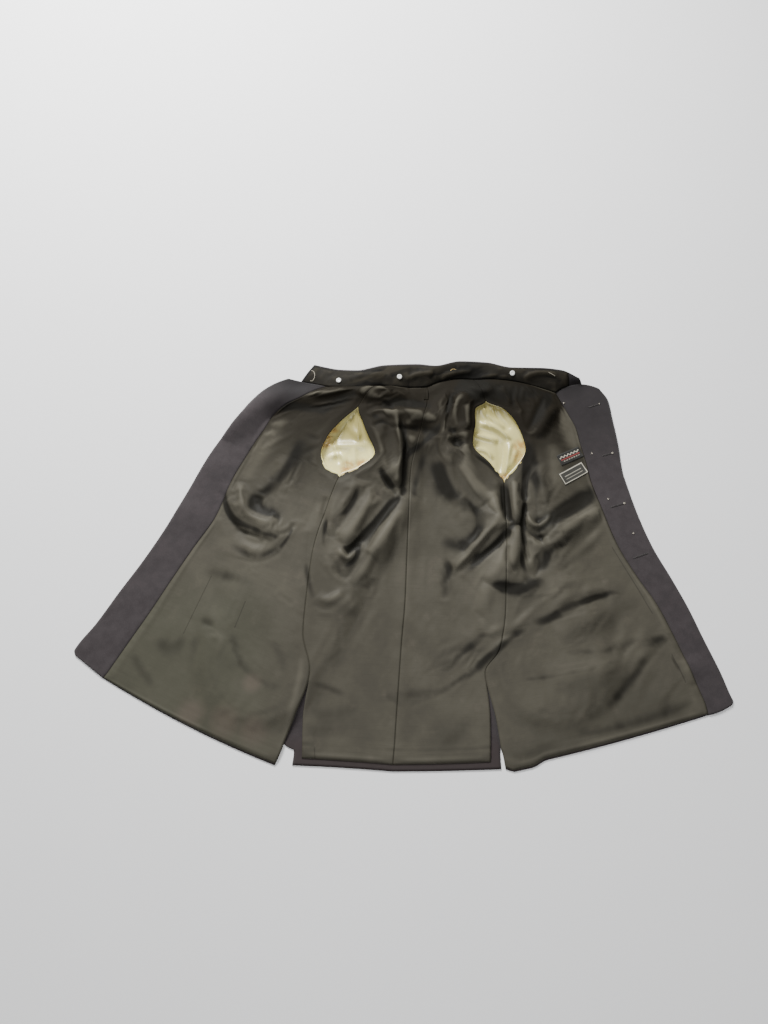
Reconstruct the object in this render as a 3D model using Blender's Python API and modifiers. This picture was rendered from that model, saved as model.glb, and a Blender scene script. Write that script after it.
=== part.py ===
"""Patrol jacket laid open on a flat surface with its lining up.

The collar points to +Y and the hem to -Y. The wearer's right front is at -X
and the wearer's left front, with the buttonholes, at +X. Sizes are in
millimetres in the tables and become metres when a mesh is made.
"""

import math

import bmesh
import bpy
import numpy as np
from mathutils import Vector
from mathutils.bvhtree import BVHTree

MM = 0.001

# Cloth and seams
WOOL = 1.6              # thickness of the outer cloth
LINING = 1.2            # thickness of the body and sleeve linings
SEAM_GAP = 0.3          # clear space between two pieces that meet
HEM_TURN_FRONT = 3      # width of outer cloth that shows below the front linings
HEM_TURN_BACK = 13      # and below the back lining
BODY_LENGTH = 791       # neck to hem along the cloth
VENT_START = 0.8305     # share of that length where the two vents begin

# Hidden sleeves, pressed flat under the body
SLEEVE_FOLD_RADIUS = 2.2
SLEEVE_BICEP = 184      # width of the flattened sleeve below the armhole
SLEEVE_CUFF = 140
SLEEVE_CLEARANCE = 9.4  # least height of the body cloth over a sleeve
ARMHOLE_OVERLAP = 4     # how far the sleeve head reaches under the armhole edge
SLEEVE_FIRST_FLAT = 0.27    # share of the sleeve where it is fully flat
SLEEVE_SLIDES = (0, 0.09, 0.2, 0.4, 0.7, 1.0)   # rings from the armhole to there
SLEEVE_LOW_DROP = 0.32      # share of that way where the low half reaches the surface
SLEEVE_HIGH_DROP = 0.5      # and where the high half reaches its own height

# How the body cloth rises over what lies under it
MOUND_HEIGHT = 11.5     # over a sleeve
MOUND_HEAD = 4.5        # more of it at the sleeve head
MOUND_HEAD_END = 0.3    # share of the sleeve where the head's part has gone
MOUND_START = 10        # the mound falls from here outside the sleeve's edge
MOUND_SLOPE = 60
CLEARANCE_START = 22
CLEARANCE_SLOPE = 45
BUTTON_BUMP = 5.4
BUTTON_BUMP_WIDTH = 40
CALM_SHARE = 0.2        # strength of the folds at an armhole's edge
CALM_START = 6
CALM_WIDTH = 30
PRESSED = 0.8           # heights under this are pressed flat

# Buttons and studs
BUTTON_DIAMETER = 22
BUTTON_THICKNESS = 3.6
BUTTON_SPACING = 107
BUTTON_FIRST = 30       # from the top of the front edge to the first button
BUTTON_INSET = 26       # from the front edge to a button's centre
STUD_DIAMETER = 10
STUD_THICKNESS = 2.2
BUTTON_EDGE = 0.9       # width of the softened edges
STUD_EDGE = 0.6

# Shares of the body's length where an armhole starts and ends
ARMHOLE_TOP = 0.077
ARMHOLE_BOTTOM = 0.277

# Grid of the body: rows between two levels and columns between two lines
COLUMNS_FACING = 3
COLUMNS_FRONT = 11
COLUMNS_BACK = 9

# Levels of the body, from the neck to the hem. "down" is the share of the
# length, "rows" the number of grid rows up to the next level, and the other
# columns are the x and y of the seven lines that the panels hang between.
# "gap_front" and "gap_back" part the two sides of a side seam line, at the
# armhole and at the vent.
LEVEL_COLUMNS = (
    "down", "rows",
    "right_edge_x", "right_edge_y", "right_facing_x", "right_facing_y",
    "right_seam_x", "right_seam_y", "right_gap_front", "right_gap_back",
    "centre_x", "centre_y",
    "left_seam_x", "left_seam_y", "left_gap_front", "left_gap_back",
    "left_facing_x", "left_facing_y", "left_edge_x", "left_edge_y",
)
LEVELS = (
    (0.000, 1, -230, 372, -150, 351, -40, 354, 0, 0, 56, 354, 150, 369, 0, 0, 318, 341, 408, 350),
    (0.028, 1, -249, 364, -169, 344, -56, 341, 0, 0, 56, 343, 158, 354, 0, 0, 326, 325, 424, 325),
    (0.077, 2, -278, 346, -201, 325, -82, 310, 0, 0, 55, 318, 172, 319, 0, 0, 342, 292, 430, 287),
    (0.126, 2, -302, 321, -234, 310, -97, 274, 24, 24, 48, 288, 181, 299, 31, 31, 356, 262, 435, 255),
    (0.170, 1, -320, 296, -259, 289, -104, 241, 44, 44, 40, 255, 194, 262, 46, 46, 362, 232, 439, 225),
    (0.211, 2, -338, 273, -274, 263, -104, 208, 56, 56, 31, 218, 197, 222, 55, 54, 369, 204, 441, 197),
    (0.253, 1, -356, 249, -291, 236, -114, 176, 33, 30, 22, 182, 208, 182, 26, 28, 375, 175, 444, 169),
    (0.277, 3, -366, 235, -300, 220, -121, 159, 0, 0, 19, 152, 205, 145, 0, 0, 378, 159, 448, 153),
    (0.377, 3, -401, 173, -335, 154, -148, 85, 0, 0, 16, 78, 206, 70, 0, 0, 399, 92, 466, 88),
    (0.488, 3, -436, 103, -365, 77, -172, 0, 0, 0, 12, -5, 203, -10, 0, 0, 425, 19, 492, 17),
    (0.589, 2, -471, 40, -406, 13, -181, -80, 0, 0, 8, -92, 200, -105, 0, 0, 459, -44, 523, -44),
    (0.684, 2, -506, -17, -443, -47, -186, -155, 0, 0, 1, -170, 186, -184, 0, 0, 494, -100, 551, -102),
    (0.775, 2, -542, -70, -478, -106, -172, -225, 0, 0, -4, -235, 158, -230, 0, 0, 520, -158, 574, -159),
    (0.886, 2, -585, -136, -522, -176, -195, -310, 4, -3, -10, -318, 176, -315, 0, 0, 549, -230, 603, -229),
    (0.953, 1, -617, -178, -549, -219, -209, -360, 10, -9, -14, -373, 183, -366, 0, 0, 565, -274, 618, -272),
    (0.965, 1, -621, -186, -554, -227, -211, -369, 11, 11, -15, -382, 184, -375, 2, 2, 568, -282, 621, -279),
    (1.000, 0, -618, -195, -568, -248, -218, -397, 16, 16, -17, -408, 187, -404, 4, 4, 573, -306, 619, -287),
)

# Outer cloth that the back lining leaves bare beside each vent, measured from
# the side seam's line
VENT_COLUMNS = ("down", "right", "left")
VENT_STRIPS = (
    (VENT_START, 2.5, 2.5),
    (0.886, 11, 11),
    (0.953, 25, 19),
    (1.000, 33, 24),
)

# Loose wave of the left front's hem beside its vent
HEM_WAVE = 8
HEM_WAVE_RISE = 0.04        # shares of the strip's width where it starts and ends
HEM_WAVE_END = 0.13
HEM_WAVE_FALL = 0.07
HEM_WAVE_LENGTH = 0.07      # share of the length over which it fades upward

# Outward bow of a strip's top edge and hem, in the middle of the strip
BOW_COLUMNS = ("strip", "top", "hem")
BOWS = (
    ("right_facing", 0, 0),
    ("right_front", -5, -3),
    ("back_right", -2, 1),
    ("back_left", 8, -1),
    ("left_front", 8, -5),
    ("left_facing", 14, -3),
)

# The sleeve lining's rim at the armhole, from the cloth round it down into the
# hole. "reach" runs outward over the lining, "rise" is over the body's
# underside, and "fall" is how much lower the rim is on the sleeve's upper half.
RIM_COLUMNS = ("reach", "rise", "fall")
RIM_OVER = WOOL + LINING + 4 * SEAM_GAP
RIM = (
    (3.6, RIM_OVER, 0.0),
    (0.5, RIM_OVER, 0.0),
    (-2.6, RIM_OVER - 1.4, 0.0),
    (-3.4, -1.0, 3.4),
)
SLEEVE_LINING_INSET = 2.5 * SEAM_GAP
SLEEVE_LINING_LIFT = 1.2    # of the first ring below the rim, on its low half

# Sleeves under the body: the middle of the flattened tube at the armhole, half
# way and at the cuff
SLEEVE_COLUMNS = ("name", "head_x", "head_y", "half_x", "half_y", "cuff_x", "cuff_y")
SLEEVES = (
    ("right", -105, 235, -165, 20, -268, -215),
    ("left", 198, 235, 225, 30, 288, -215),
)

# Largest folds: a curve through three points with a half width and a height.
# A negative height is a trough.
FOLD_COLUMNS = ("x1", "y1", "x2", "y2", "x3", "y3", "half_width", "height")
FOLDS = (
    # roll of the wearer's right front from the chest to the neck
    (-350, 235, -285, 312, -160, 332, 24, 12),
    (-300, 225, -225, 290, -90, 312, 18, -6),
    # pouch on the wearer's right chest
    (-330, 150, -300, 60, -215, 55, 20, 8),
    (-350, 130, -338, 60, -240, 20, 16, -4),
    (-235, 205, -255, 150, -310, 120, 16, 5),
    # long crease from the armhole down to the side seam
    (20, 150, -40, 30, -95, -60, 24, 8),
    (0, 175, -65, 40, -120, -50, 18, -9),
    (-75, 150, -105, 30, -150, -30, 26, 6),
    # folds beside the wearer's right armhole
    (-40, 300, -28, 220, 5, 140, 16, 8),
    (-8, 250, -15, 200, -5, 150, 14, -8),
    (-130, -75, -110, -95, -75, -90, 22, 5),
    # back of the neck and the rolled shoulder lining
    (15, 285, 55, 300, 100, 280, 24, 8),
    (-90, 322, -40, 332, 20, 345, 18, 9),
    (-75, 285, -20, 300, 15, 325, 16, -5),
    # gathers beside the wearer's left armhole
    (115, 345, 128, 270, 140, 200, 15, 10),
    (85, 335, 90, 250, 105, 180, 16, 7),
    (100, 340, 108, 255, 125, 190, 12, -6),
    # long curved fold of the back down from the left armhole
    (110, 240, 135, 155, 205, 85, 16, -6),
    (95, 220, 110, 130, 165, 50, 24, 7),
    (205, 65, 165, -15, 110, -110, 18, -6),
    (230, 60, 195, -30, 140, -120, 26, 6),
    # side of the wearer's left front
    (262, 200, 258, 70, 285, -40, 16, -6),
    (295, 195, 290, 60, 315, -30, 24, 7),
    (195, -40, 260, -70, 330, -45, 22, 7),
    (385, 100, 330, 60, 270, 35, 24, 7),
    (455, -80, 350, -130, 290, -155, 24, 5),
    (490, -170, 400, -215, 270, -245, 24, 5),
    (575, -200, 520, -240, 445, -300, 22, 4),
    (330, -75, 270, -115, 215, -150, 22, 4),
)

# Where the body lining stands up loosely over the outer cloth: middle of the
# mound, its reach and its height
LOFT_COLUMNS = ("x", "y", "reach_x", "reach_y", "height")
LOFTS = (
    (-265, 120, 95, 120, 4),
    (-75, 60, 95, 105, 5),
    (5, 235, 70, 110, 5),
    (125, 260, 60, 100, 5),
    (205, 45, 75, 110, 6),
    (310, 80, 85, 90, 5),
    (285, 290, 60, 70, 4),
)

# Folds of the loose lining alone, in the same columns as the largest folds
LINING_FOLDS = (
    (-272, 294, -184, 333, -85, 353, 17, 5),
    (-343, 155, -317, 71, -213, 37, 15, -7),
    (-310, 150, -288, 97, -229, 71, 18, 6),
    (-84, 160, -126, 86, -150, 24, 18, 7),
    (-13, 107, -63, 45, -113, -2, 15, -9),
    (38, 129, -13, 65, -63, -12, 20, 7),
    (0, 269, 4, 204, 0, 130, 18, 8),
    (11, 236, 47, 266, 96, 272, 17, 7),
    (117, 362, 89, 292, 76, 246, 14, -7),
    (142, 338, 118, 286, 123, 234, 20, 9),
    (125, 215, 152, 150, 187, 90, 18, 9),
    (80, 243, 100, 178, 175, 90, 14, -7),
    (202, 156, 205, 106, 209, 65, 14, -9),
    (232, 161, 222, 101, 224, 63, 14, 6),
    (224, 63, 204, 25, 171, -23, 16, 7),
    (188, 68, 172, 20, 125, -20, 15, -6),
    (209, 20, 207, -23, 229, -55, 17, 5),
    (163, -28, 209, -65, 278, -68, 14, -5),
    (378, 159, 319, 90, 257, 63, 18, -8),
    (355, 178, 307, 123, 256, 103, 18, 6),
)
LINING_SEWN_FADE = 32       # the lining rises over this distance from a sewn edge
LINING_ARMHOLE_START = 2
LINING_ARMHOLE_FADE = 34

# The collar stands on the neck line. "along" is the share of its length from
# the wearer's right end, the other columns are its upper edge and its lift.
COLLAR_COLUMNS = ("along", "top_x", "top_y", "top_z")
COLLAR = (
    (0.00, -176, 402, 3),
    (0.09, -124, 390, 6),
    (0.17, -88, 387, 10),
    (0.28, -30, 399, 9),
    (0.40, 36, 402, 8),
    (0.47, 72, 397, 12),
    (0.57, 124, 408, 9),
    (0.66, 178, 405, 9),
    (0.75, 228, 392, 14),
    (0.86, 290, 391, 14),
    (0.93, 330, 387, 12),
    (1.00, 366, 370, 11),
)
COLLAR_ROWS = 3
COLLAR_WOOL = 1.8
COLLAR_NECK_GAP = 0.5
COLLAR_FIRST_COLUMN = 1     # neck columns where the collar starts and ends
COLLAR_LAST_COLUMN = -3

COLLAR_BULGE = 3.0          # how far the collar rounds up half way
COLLAR_FOOT_LIFT = 0.2
COLLAR_LINING_SHORT = 2     # columns left bare at the end where the wool rolls

# Studs on the collar lining, and the bent wire between the last two
STUDS = ((-125, 362), (-1, 372), (229, 378))
HOOK_PLACE = (109, 386)
HOOK_WIRE = 1.2
HOOK_WIDTH = 12
HOOK_HEIGHT = 8
HOOK_TIP = -3.0

# Woven labels on the wearer's left front lining: centre, size and turn
LABEL_COLUMNS = ("name", "x", "y", "width", "height", "turn")
LABELS = (
    ("label_upper", 339, 202, 52, 23, 27),
    ("label_lower", 344, 166, 58, 26, 31),
)
LABEL_THICKNESS = 1.0

HANGER_PLACE = (53, 336)
HANGER_LENGTH = 24
HANGER_WIDTH = 9

COLOURS = {
    "wool": (0.050, 0.045, 0.055, 0.95),
    "lining": (0.060, 0.058, 0.045, 0.50),
    "sleeve_lining": (0.72, 0.68, 0.52, 0.45),
    "stud": (0.80, 0.80, 0.76, 0.35),
    "metal": (0.55, 0.42, 0.22, 0.40),
    "label": (0.09, 0.09, 0.08, 0.80),
}
METALLIC = {"metal": 1.0}


def column(table, columns, name):
    """One named column of a table, as an array."""
    return np.array([row[columns.index(name)] for row in table], float)


def smooth(stations, values, at):
    """Cubic through the values that never overshoots them."""
    stations = np.asarray(stations, float)
    values = np.asarray(values, float)
    step = np.diff(stations)
    slope = np.diff(values) / step
    tangent = np.zeros_like(values)
    before = slope[:-1]
    after = slope[1:]
    same_way = before * after > 0
    weight_a = 2 * step[1:] + step[:-1]
    weight_b = step[1:] + 2 * step[:-1]
    safe_before = np.where(same_way, before, 1.0)
    safe_after = np.where(same_way, after, 1.0)
    mean = (weight_a + weight_b) / (weight_a / safe_before + weight_b / safe_after)
    tangent[1:-1] = np.where(same_way, mean, 0.0)
    tangent[0] = slope[0]
    tangent[-1] = slope[-1]
    place = np.clip(np.searchsorted(stations, at, side="right") - 1, 0, len(step) - 1)
    width = step[place]
    t = (np.asarray(at, float) - stations[place]) / width
    rise = values[place + 1] - values[place]
    blend = t * t * (3 - 2 * t)
    start_bend = width * tangent[place] * t * (1 - t) ** 2
    end_bend = width * tangent[place + 1] * t * t * (t - 1)
    return values[place] + rise * blend + start_bend + end_bend


def smoothstep(value):
    t = np.clip(value, 0.0, 1.0)
    return t * t * (3 - 2 * t)


def line_point(name, down, side=""):
    """Point of a body line at a share of its length, side "front" or "back"."""
    stations = column(LEVELS, LEVEL_COLUMNS, "down")
    x = smooth(stations, column(LEVELS, LEVEL_COLUMNS, name + "_x"), down)
    y = smooth(stations, column(LEVELS, LEVEL_COLUMNS, name + "_y"), down)
    if side:
        wearer_side = name.split("_")[0]
        gap = smooth(stations, column(LEVELS, LEVEL_COLUMNS, wearer_side + "_gap_" + side), down)
        outward = -1 if wearer_side == "right" else 1
        toward = outward if side == "front" else -outward
        x = x + toward * (gap + SEAM_GAP / 2)
    return np.stack([x, y], axis=-1)


def row_stations(name="back"):
    """Shares of the length where a strip's grid rows lie, with the hem turn last."""
    hem_turn = HEM_TURN_BACK if name.startswith("back") else HEM_TURN_FRONT
    down = column(LEVELS, LEVEL_COLUMNS, "down")
    rows = column(LEVELS, LEVEL_COLUMNS, "rows").astype(int)
    stations = [np.linspace(down[i], down[i + 1], rows[i], endpoint=False) for i in range(len(down) - 1)]
    return np.concatenate(stations + [[1 - hem_turn / BODY_LENGTH], [1.0]])


def vent_share(side, down):
    """Share of a back strip that its lining leaves bare, from the side seam."""
    inward = 1 if side == "right" else -1
    bare = np.interp(down, column(VENT_STRIPS, VENT_COLUMNS, "down"), column(VENT_STRIPS, VENT_COLUMNS, side))
    edge = line_point(side + "_seam", down, "back")[:, 0]
    middle = line_point("centre", down)[:, 0]
    border = line_point(side + "_seam", down)[:, 0] + inward * bare
    return (border - edge) / (middle - edge)


def strip_shares(name, down, columns):
    """Where the columns of a strip lie on each row. Beside a vent, the outermost
    column but one follows the edge of the back lining."""
    across = np.tile(np.linspace(0, 1, columns + 1), (len(down), 1))
    at_vent = down > VENT_START - 0.001
    if name == "back_right":
        bare = vent_share("right", down[at_vent])[:, None]
        across[at_vent, 1:] = bare + (1 - bare) * np.linspace(0, 1, columns)
    elif name == "back_left":
        bare = vent_share("left", down[at_vent])[:, None]
        across[at_vent, :-1] = (1 - bare) * np.linspace(0, 1, columns)
    return across


def hem_wave(across, down):
    """Drop of the left front's hem beside its vent."""
    start = smoothstep(across / HEM_WAVE_RISE)
    end = smoothstep((across - HEM_WAVE_END) / HEM_WAVE_FALL)
    return HEM_WAVE * start * (1 - end) * smoothstep((down - 1) / HEM_WAVE_LENGTH + 1)


def strip(name, start, end, columns):
    """Plan points of the cloth between two lines, bowed at the neck and hem."""
    down = row_stations(name)
    across = strip_shares(name, down, columns)
    first = line_point(start[0], down, start[1])[:, None, :]
    last = line_point(end[0], down, end[1])[:, None, :]
    points = first + (last - first) * across[..., None]
    bow = next(dict(zip(BOW_COLUMNS, row)) for row in BOWS if row[0] == name)
    hump = 4 * across * (1 - across)
    at_top = smoothstep(1 - down / 0.15)
    at_hem = smoothstep((down - 0.85) / 0.15)
    points[..., 1] += (at_top[:, None] * bow["top"] + at_hem[:, None] * bow["hem"]) * hump
    if name == "left_front":
        points[..., 1] -= hem_wave(across, down[:, None])
    return points


def panel(*strips):
    """Strips side by side as one grid; each shares a column with the next."""
    grids = [strip(*strips[0])]
    for item in strips[1:]:
        grids.append(strip(*item)[:, 1:, :])
    return np.concatenate(grids, axis=1)


def right_front_plan():
    return panel(
        ("right_facing", ("right_edge", ""), ("right_facing", ""), COLUMNS_FACING),
        ("right_front", ("right_facing", ""), ("right_seam", "front"), COLUMNS_FRONT),
    )


def back_plan():
    return panel(
        ("back_right", ("right_seam", "back"), ("centre", ""), COLUMNS_BACK),
        ("back_left", ("centre", ""), ("left_seam", "back"), COLUMNS_BACK),
    )


def left_front_plan():
    return panel(
        ("left_front", ("left_seam", "front"), ("left_facing", ""), COLUMNS_FRONT),
        ("left_facing", ("left_facing", ""), ("left_edge", ""), COLUMNS_FACING),
    )


def curve_through(start, middle, end, t):
    """Parabola through three points, at shares t."""
    start, middle, end = (np.asarray(p, float) for p in (start, middle, end))
    handle = 2 * middle - (start + end) / 2
    t = np.asarray(t, float)[:, None]
    return (1 - t) ** 2 * start + 2 * t * (1 - t) * handle + t ** 2 * end


def nearest_on_path(path, plan):
    """Distance from each plan point to a polyline, and the share along it."""
    best = np.full(plan.shape[:-1], np.inf)
    share = np.zeros(plan.shape[:-1])
    count = len(path) - 1
    for i in range(count):
        leg = path[i + 1] - path[i]
        offset = plan - path[i]
        t = np.clip((offset @ leg) / (leg @ leg), 0, 1)
        distance = np.linalg.norm(offset - t[..., None] * leg, axis=-1)
        closer = distance < best
        best = np.where(closer, distance, best)
        share = np.where(closer, (i + t) / count, share)
    return best, share


def sleeve_axis(sleeve, t):
    head = (sleeve["head_x"], sleeve["head_y"])
    half_way = (sleeve["half_x"], sleeve["half_y"])
    cuff = (sleeve["cuff_x"], sleeve["cuff_y"])
    return curve_through(head, half_way, cuff, t)


def sleeve_half_width(t):
    return (SLEEVE_BICEP + (SLEEVE_CUFF - SLEEVE_BICEP) * np.clip(t, 0, 1)) / 2


def button_places():
    """Centres of the buttons, inside the wearer's right front edge."""
    dense = np.linspace(0, 1, 400)
    edge = line_point("right_edge", dense)
    run = np.concatenate([[0], np.cumsum(np.linalg.norm(np.diff(edge, axis=0), axis=1))])
    places = []
    for index in range(4):
        at = BUTTON_FIRST + index * BUTTON_SPACING
        point = np.array([np.interp(at, run, edge[:, 0]), np.interp(at, run, edge[:, 1])])
        ahead = np.array([np.interp(at + 5, run, edge[:, 0]), np.interp(at + 5, run, edge[:, 1])])
        along = (ahead - point) / np.linalg.norm(ahead - point)
        inward = np.array([-along[1], along[0]])
        places.append(point + BUTTON_INSET * inward)
    return places


def armhole_outline(side):
    """Closed plan outline of one armhole."""
    down = np.linspace(ARMHOLE_TOP, ARMHOLE_BOTTOM, 12)
    front = line_point(side + "_seam", down, "front")
    back = line_point(side + "_seam", down, "back")
    return np.concatenate([front, back[::-1], front[:1]])


def cloth_height(plan):
    """Height of the underside of the body cloth over the surface it lies on.

    Broad mounds over the sleeves and the buttons, plus the folds, which are
    softer close to an armhole; what is left below a small threshold is pressed
    flat.
    """
    total = np.zeros(plan.shape[:-1])
    least = np.zeros(plan.shape[:-1])
    calm = np.ones(plan.shape[:-1])
    for row in SLEEVES:
        sleeve = dict(zip(SLEEVE_COLUMNS, row))
        distance, share = nearest_on_path(sleeve_axis(sleeve, np.linspace(0, 1, 16)), plan)
        outside = distance - sleeve_half_width(share)
        mound = MOUND_HEIGHT + MOUND_HEAD * smoothstep(1 - share / MOUND_HEAD_END)
        total = np.maximum(total, mound * smoothstep(1 - (outside - MOUND_START) / MOUND_SLOPE))
        clearance = SLEEVE_CLEARANCE * smoothstep(1 - (outside - CLEARANCE_START) / CLEARANCE_SLOPE)
        least = np.maximum(least, clearance)
        distance, _ = nearest_on_path(armhole_outline(sleeve["name"]), plan)
        away = smoothstep((distance - CALM_START) / CALM_WIDTH)
        calm = calm * (CALM_SHARE + (1 - CALM_SHARE) * away)
    for place in button_places():
        distance = np.linalg.norm(plan - place, axis=-1)
        total = total + BUTTON_BUMP * np.exp(-(distance / BUTTON_BUMP_WIDTH) ** 2)
    total = total + calm * fold_field(plan, FOLDS)
    return np.maximum(np.maximum(total - PRESSED, 0), least)


def fold_field(plan, table):
    """Sum of folds, each with a bell section that fades out at both ends."""
    total = np.zeros(plan.shape[:-1])
    for row in table:
        fold = dict(zip(FOLD_COLUMNS, row))
        path = curve_through((fold["x1"], fold["y1"]), (fold["x2"], fold["y2"]),
                             (fold["x3"], fold["y3"]), np.linspace(0, 1, 11))
        distance, share = nearest_on_path(path, plan)
        taper = 1 - (2 * share - 1) ** 4
        total = total + fold["height"] * taper * np.exp(-(distance / fold["half_width"]) ** 2)
    return total


def lining_rise(plan, sewn_columns):
    """How far the lining stands up over the outer cloth.

    Mounds joined by the cube root of their summed cubes, plus the lining's own
    folds, never below nothing. It is sewn down flat at the neck, the hem and
    the given columns of the grid, and is low beside the armholes.
    """
    cubes = np.zeros(plan.shape[:-1])
    for row in LOFTS:
        mound = dict(zip(LOFT_COLUMNS, row))
        across = (plan[..., 0] - mound["x"]) / mound["reach_x"]
        down = (plan[..., 1] - mound["y"]) / mound["reach_y"]
        cubes += (mound["height"] * np.exp(-across ** 2 - down ** 2)) ** 3
    rise = np.maximum(np.cbrt(cubes) + fold_field(plan, LINING_FOLDS), 0)
    sewn = [plan[0], plan[-1]] + [plan[:, index] for index in sewn_columns]
    for line in sewn:
        distance, _ = nearest_on_path(line, plan)
        rise = rise * smoothstep(distance / LINING_SEWN_FADE)
    for side in ("right", "left"):
        distance, _ = nearest_on_path(armhole_outline(side), plan)
        rise = rise * smoothstep((distance - LINING_ARMHOLE_START) / LINING_ARMHOLE_FADE)
    return rise


def lifted(plan, height):
    return np.concatenate([plan, height[..., None]], axis=-1)


def grid_faces(rows, columns, keep=None, closed=False):
    """Four-cornered faces of a grid, facing up, for the cells that are kept."""
    faces = []
    last = columns if closed else columns - 1
    for i in range(rows - 1):
        for j in range(last):
            if keep is not None and not keep[i, j]:
                continue
            k = (j + 1) % columns
            faces.append((i * columns + j, (i + 1) * columns + j, (i + 1) * columns + k, i * columns + k))
    return faces


def new_object(name, mesh, material):
    obj = bpy.data.objects.new(name, mesh)
    obj.data.materials.append(material)
    JACKET.objects.link(obj)
    return obj


def cloth_wall(name, points, thickness, material, keep=None):
    """Wall of cloth: a grid surface, each face raised straight up by the thickness."""
    rows, columns, _ = points.shape
    work = bmesh.new()
    corners = [work.verts.new(Vector(p) * MM) for p in points.reshape(-1, 3)]
    for face in grid_faces(rows, columns, keep):
        work.faces.new([corners[i] for i in face])
    loose = [v for v in work.verts if not v.link_faces]
    bmesh.ops.delete(work, geom=loose, context="VERTS")
    bmesh.ops.recalc_face_normals(work, faces=work.faces)
    bmesh.ops.triangulate(work, faces=work.faces, quad_method="FIXED")
    raised = bmesh.ops.extrude_face_region(work, geom=list(work.faces), use_keep_orig=True)
    tops = [item for item in raised["geom"] if isinstance(item, bmesh.types.BMVert)]
    bmesh.ops.translate(work, verts=tops, vec=(0, 0, thickness * MM))
    bmesh.ops.recalc_face_normals(work, faces=work.faces)
    mesh = bpy.data.meshes.new(name)
    work.to_mesh(mesh)
    work.free()
    return new_object(name, mesh, material)


def cells_between(shape, first_row=0, last_row=None, first_column=0, last_column=None):
    keep = np.zeros((shape[0] - 1, shape[1] - 1), bool)
    keep[first_row:last_row, first_column:last_column] = True
    return keep


def part_seam(points, column_index, direction):
    """Move one grid column a little along its rows, so that two pieces stay apart."""
    moved = points.copy()
    step = points[:, column_index + direction] - points[:, column_index]
    length = np.linalg.norm(step, axis=-1, keepdims=True)
    moved[:, column_index] += step / length * (SEAM_GAP / 2)
    return moved


def build_front(side, plan, facing_columns, lining_columns, seam_column):
    """Outer cloth of one front, with its facing and its lining on top."""
    base = lifted(plan, cloth_height(plan))
    cloth_wall(side + "_front", base, WOOL, MATERIALS["wool"])
    above = base + (0, 0, WOOL + SEAM_GAP)
    toward_facing = 1 if facing_columns[0] == seam_column else -1
    facing = part_seam(above, seam_column, toward_facing)
    cloth_wall(side + "_facing", facing, WOOL, MATERIALS["wool"],
               cells_between(plan.shape, 0, None, *facing_columns))
    lining = part_seam(above, seam_column, -toward_facing)
    lining[..., 2] += lining_rise(plan, [seam_column])
    cloth_wall(side + "_front_lining", lining, LINING, MATERIALS["lining"],
               cells_between(plan.shape, 0, -1, *lining_columns))
    return base


def build_back():
    """Outer cloth of the back, with the two halves of its lining."""
    plan = back_plan()
    base = lifted(plan, cloth_height(plan))
    cloth_wall("back", base, WOOL, MATERIALS["wool"])
    above = base + (0, 0, WOOL + SEAM_GAP)
    above[..., 2] += lining_rise(plan, [])
    vent_row = int(np.argmin(abs(row_stations() - VENT_START)))
    right_half = cells_between(plan.shape, 0, -1, 0, COLUMNS_BACK)
    right_half[vent_row:, 0] = False
    left_half = cells_between(plan.shape, 0, -1, COLUMNS_BACK, None)
    left_half[vent_row:, -1] = False
    cloth_wall("back_lining_right", part_seam(above, COLUMNS_BACK, -1), LINING,
               MATERIALS["lining"], right_half)
    cloth_wall("back_lining_left", part_seam(above, COLUMNS_BACK, 1), LINING,
               MATERIALS["lining"], left_half)
    return base


def neck_line():
    """Points of the whole neck edge, from the wearer's right end to the left."""
    right = right_front_plan()[0]
    back = back_plan()[0]
    left = left_front_plan()[0]
    right_meet = (right[-1:] + back[:1]) / 2
    left_meet = (back[-1:] + left[:1]) / 2
    return np.concatenate([right[:-1], right_meet, back[1:-1], left_meet, left[1:]], axis=0)


def collar_points():
    """Grid of the collar between the neck line and its upper edge."""
    neck = neck_line()[COLLAR_FIRST_COLUMN:COLLAR_LAST_COLUMN + 1]
    run = np.concatenate([[0], np.cumsum(np.linalg.norm(np.diff(neck, axis=0), axis=1))])
    along = run / run[-1]
    stations = column(COLLAR, COLLAR_COLUMNS, "along")
    top = np.stack([smooth(stations, column(COLLAR, COLLAR_COLUMNS, name), along)
                    for name in ("top_x", "top_y", "top_z")], axis=-1)
    foot = lifted(neck + (0, COLLAR_NECK_GAP), cloth_height(neck) + COLLAR_FOOT_LIFT)
    rise = np.linspace(0, 1, COLLAR_ROWS + 1)[:, None, None]
    grid = foot[None] + (top - foot)[None] * rise
    grid[..., 2] += COLLAR_BULGE * np.sin(math.pi * rise[..., 0])
    return grid[::-1]


def build_collar():
    points = collar_points()
    cloth_wall("collar", points, COLLAR_WOOL, MATERIALS["wool"])
    above = points + (0, 0, COLLAR_WOOL + SEAM_GAP)
    keep = cells_between(points.shape, 0, None, 0, -COLLAR_LINING_SHORT)
    cloth_wall("collar_lining", above, LINING, MATERIALS["lining"], keep)


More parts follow.
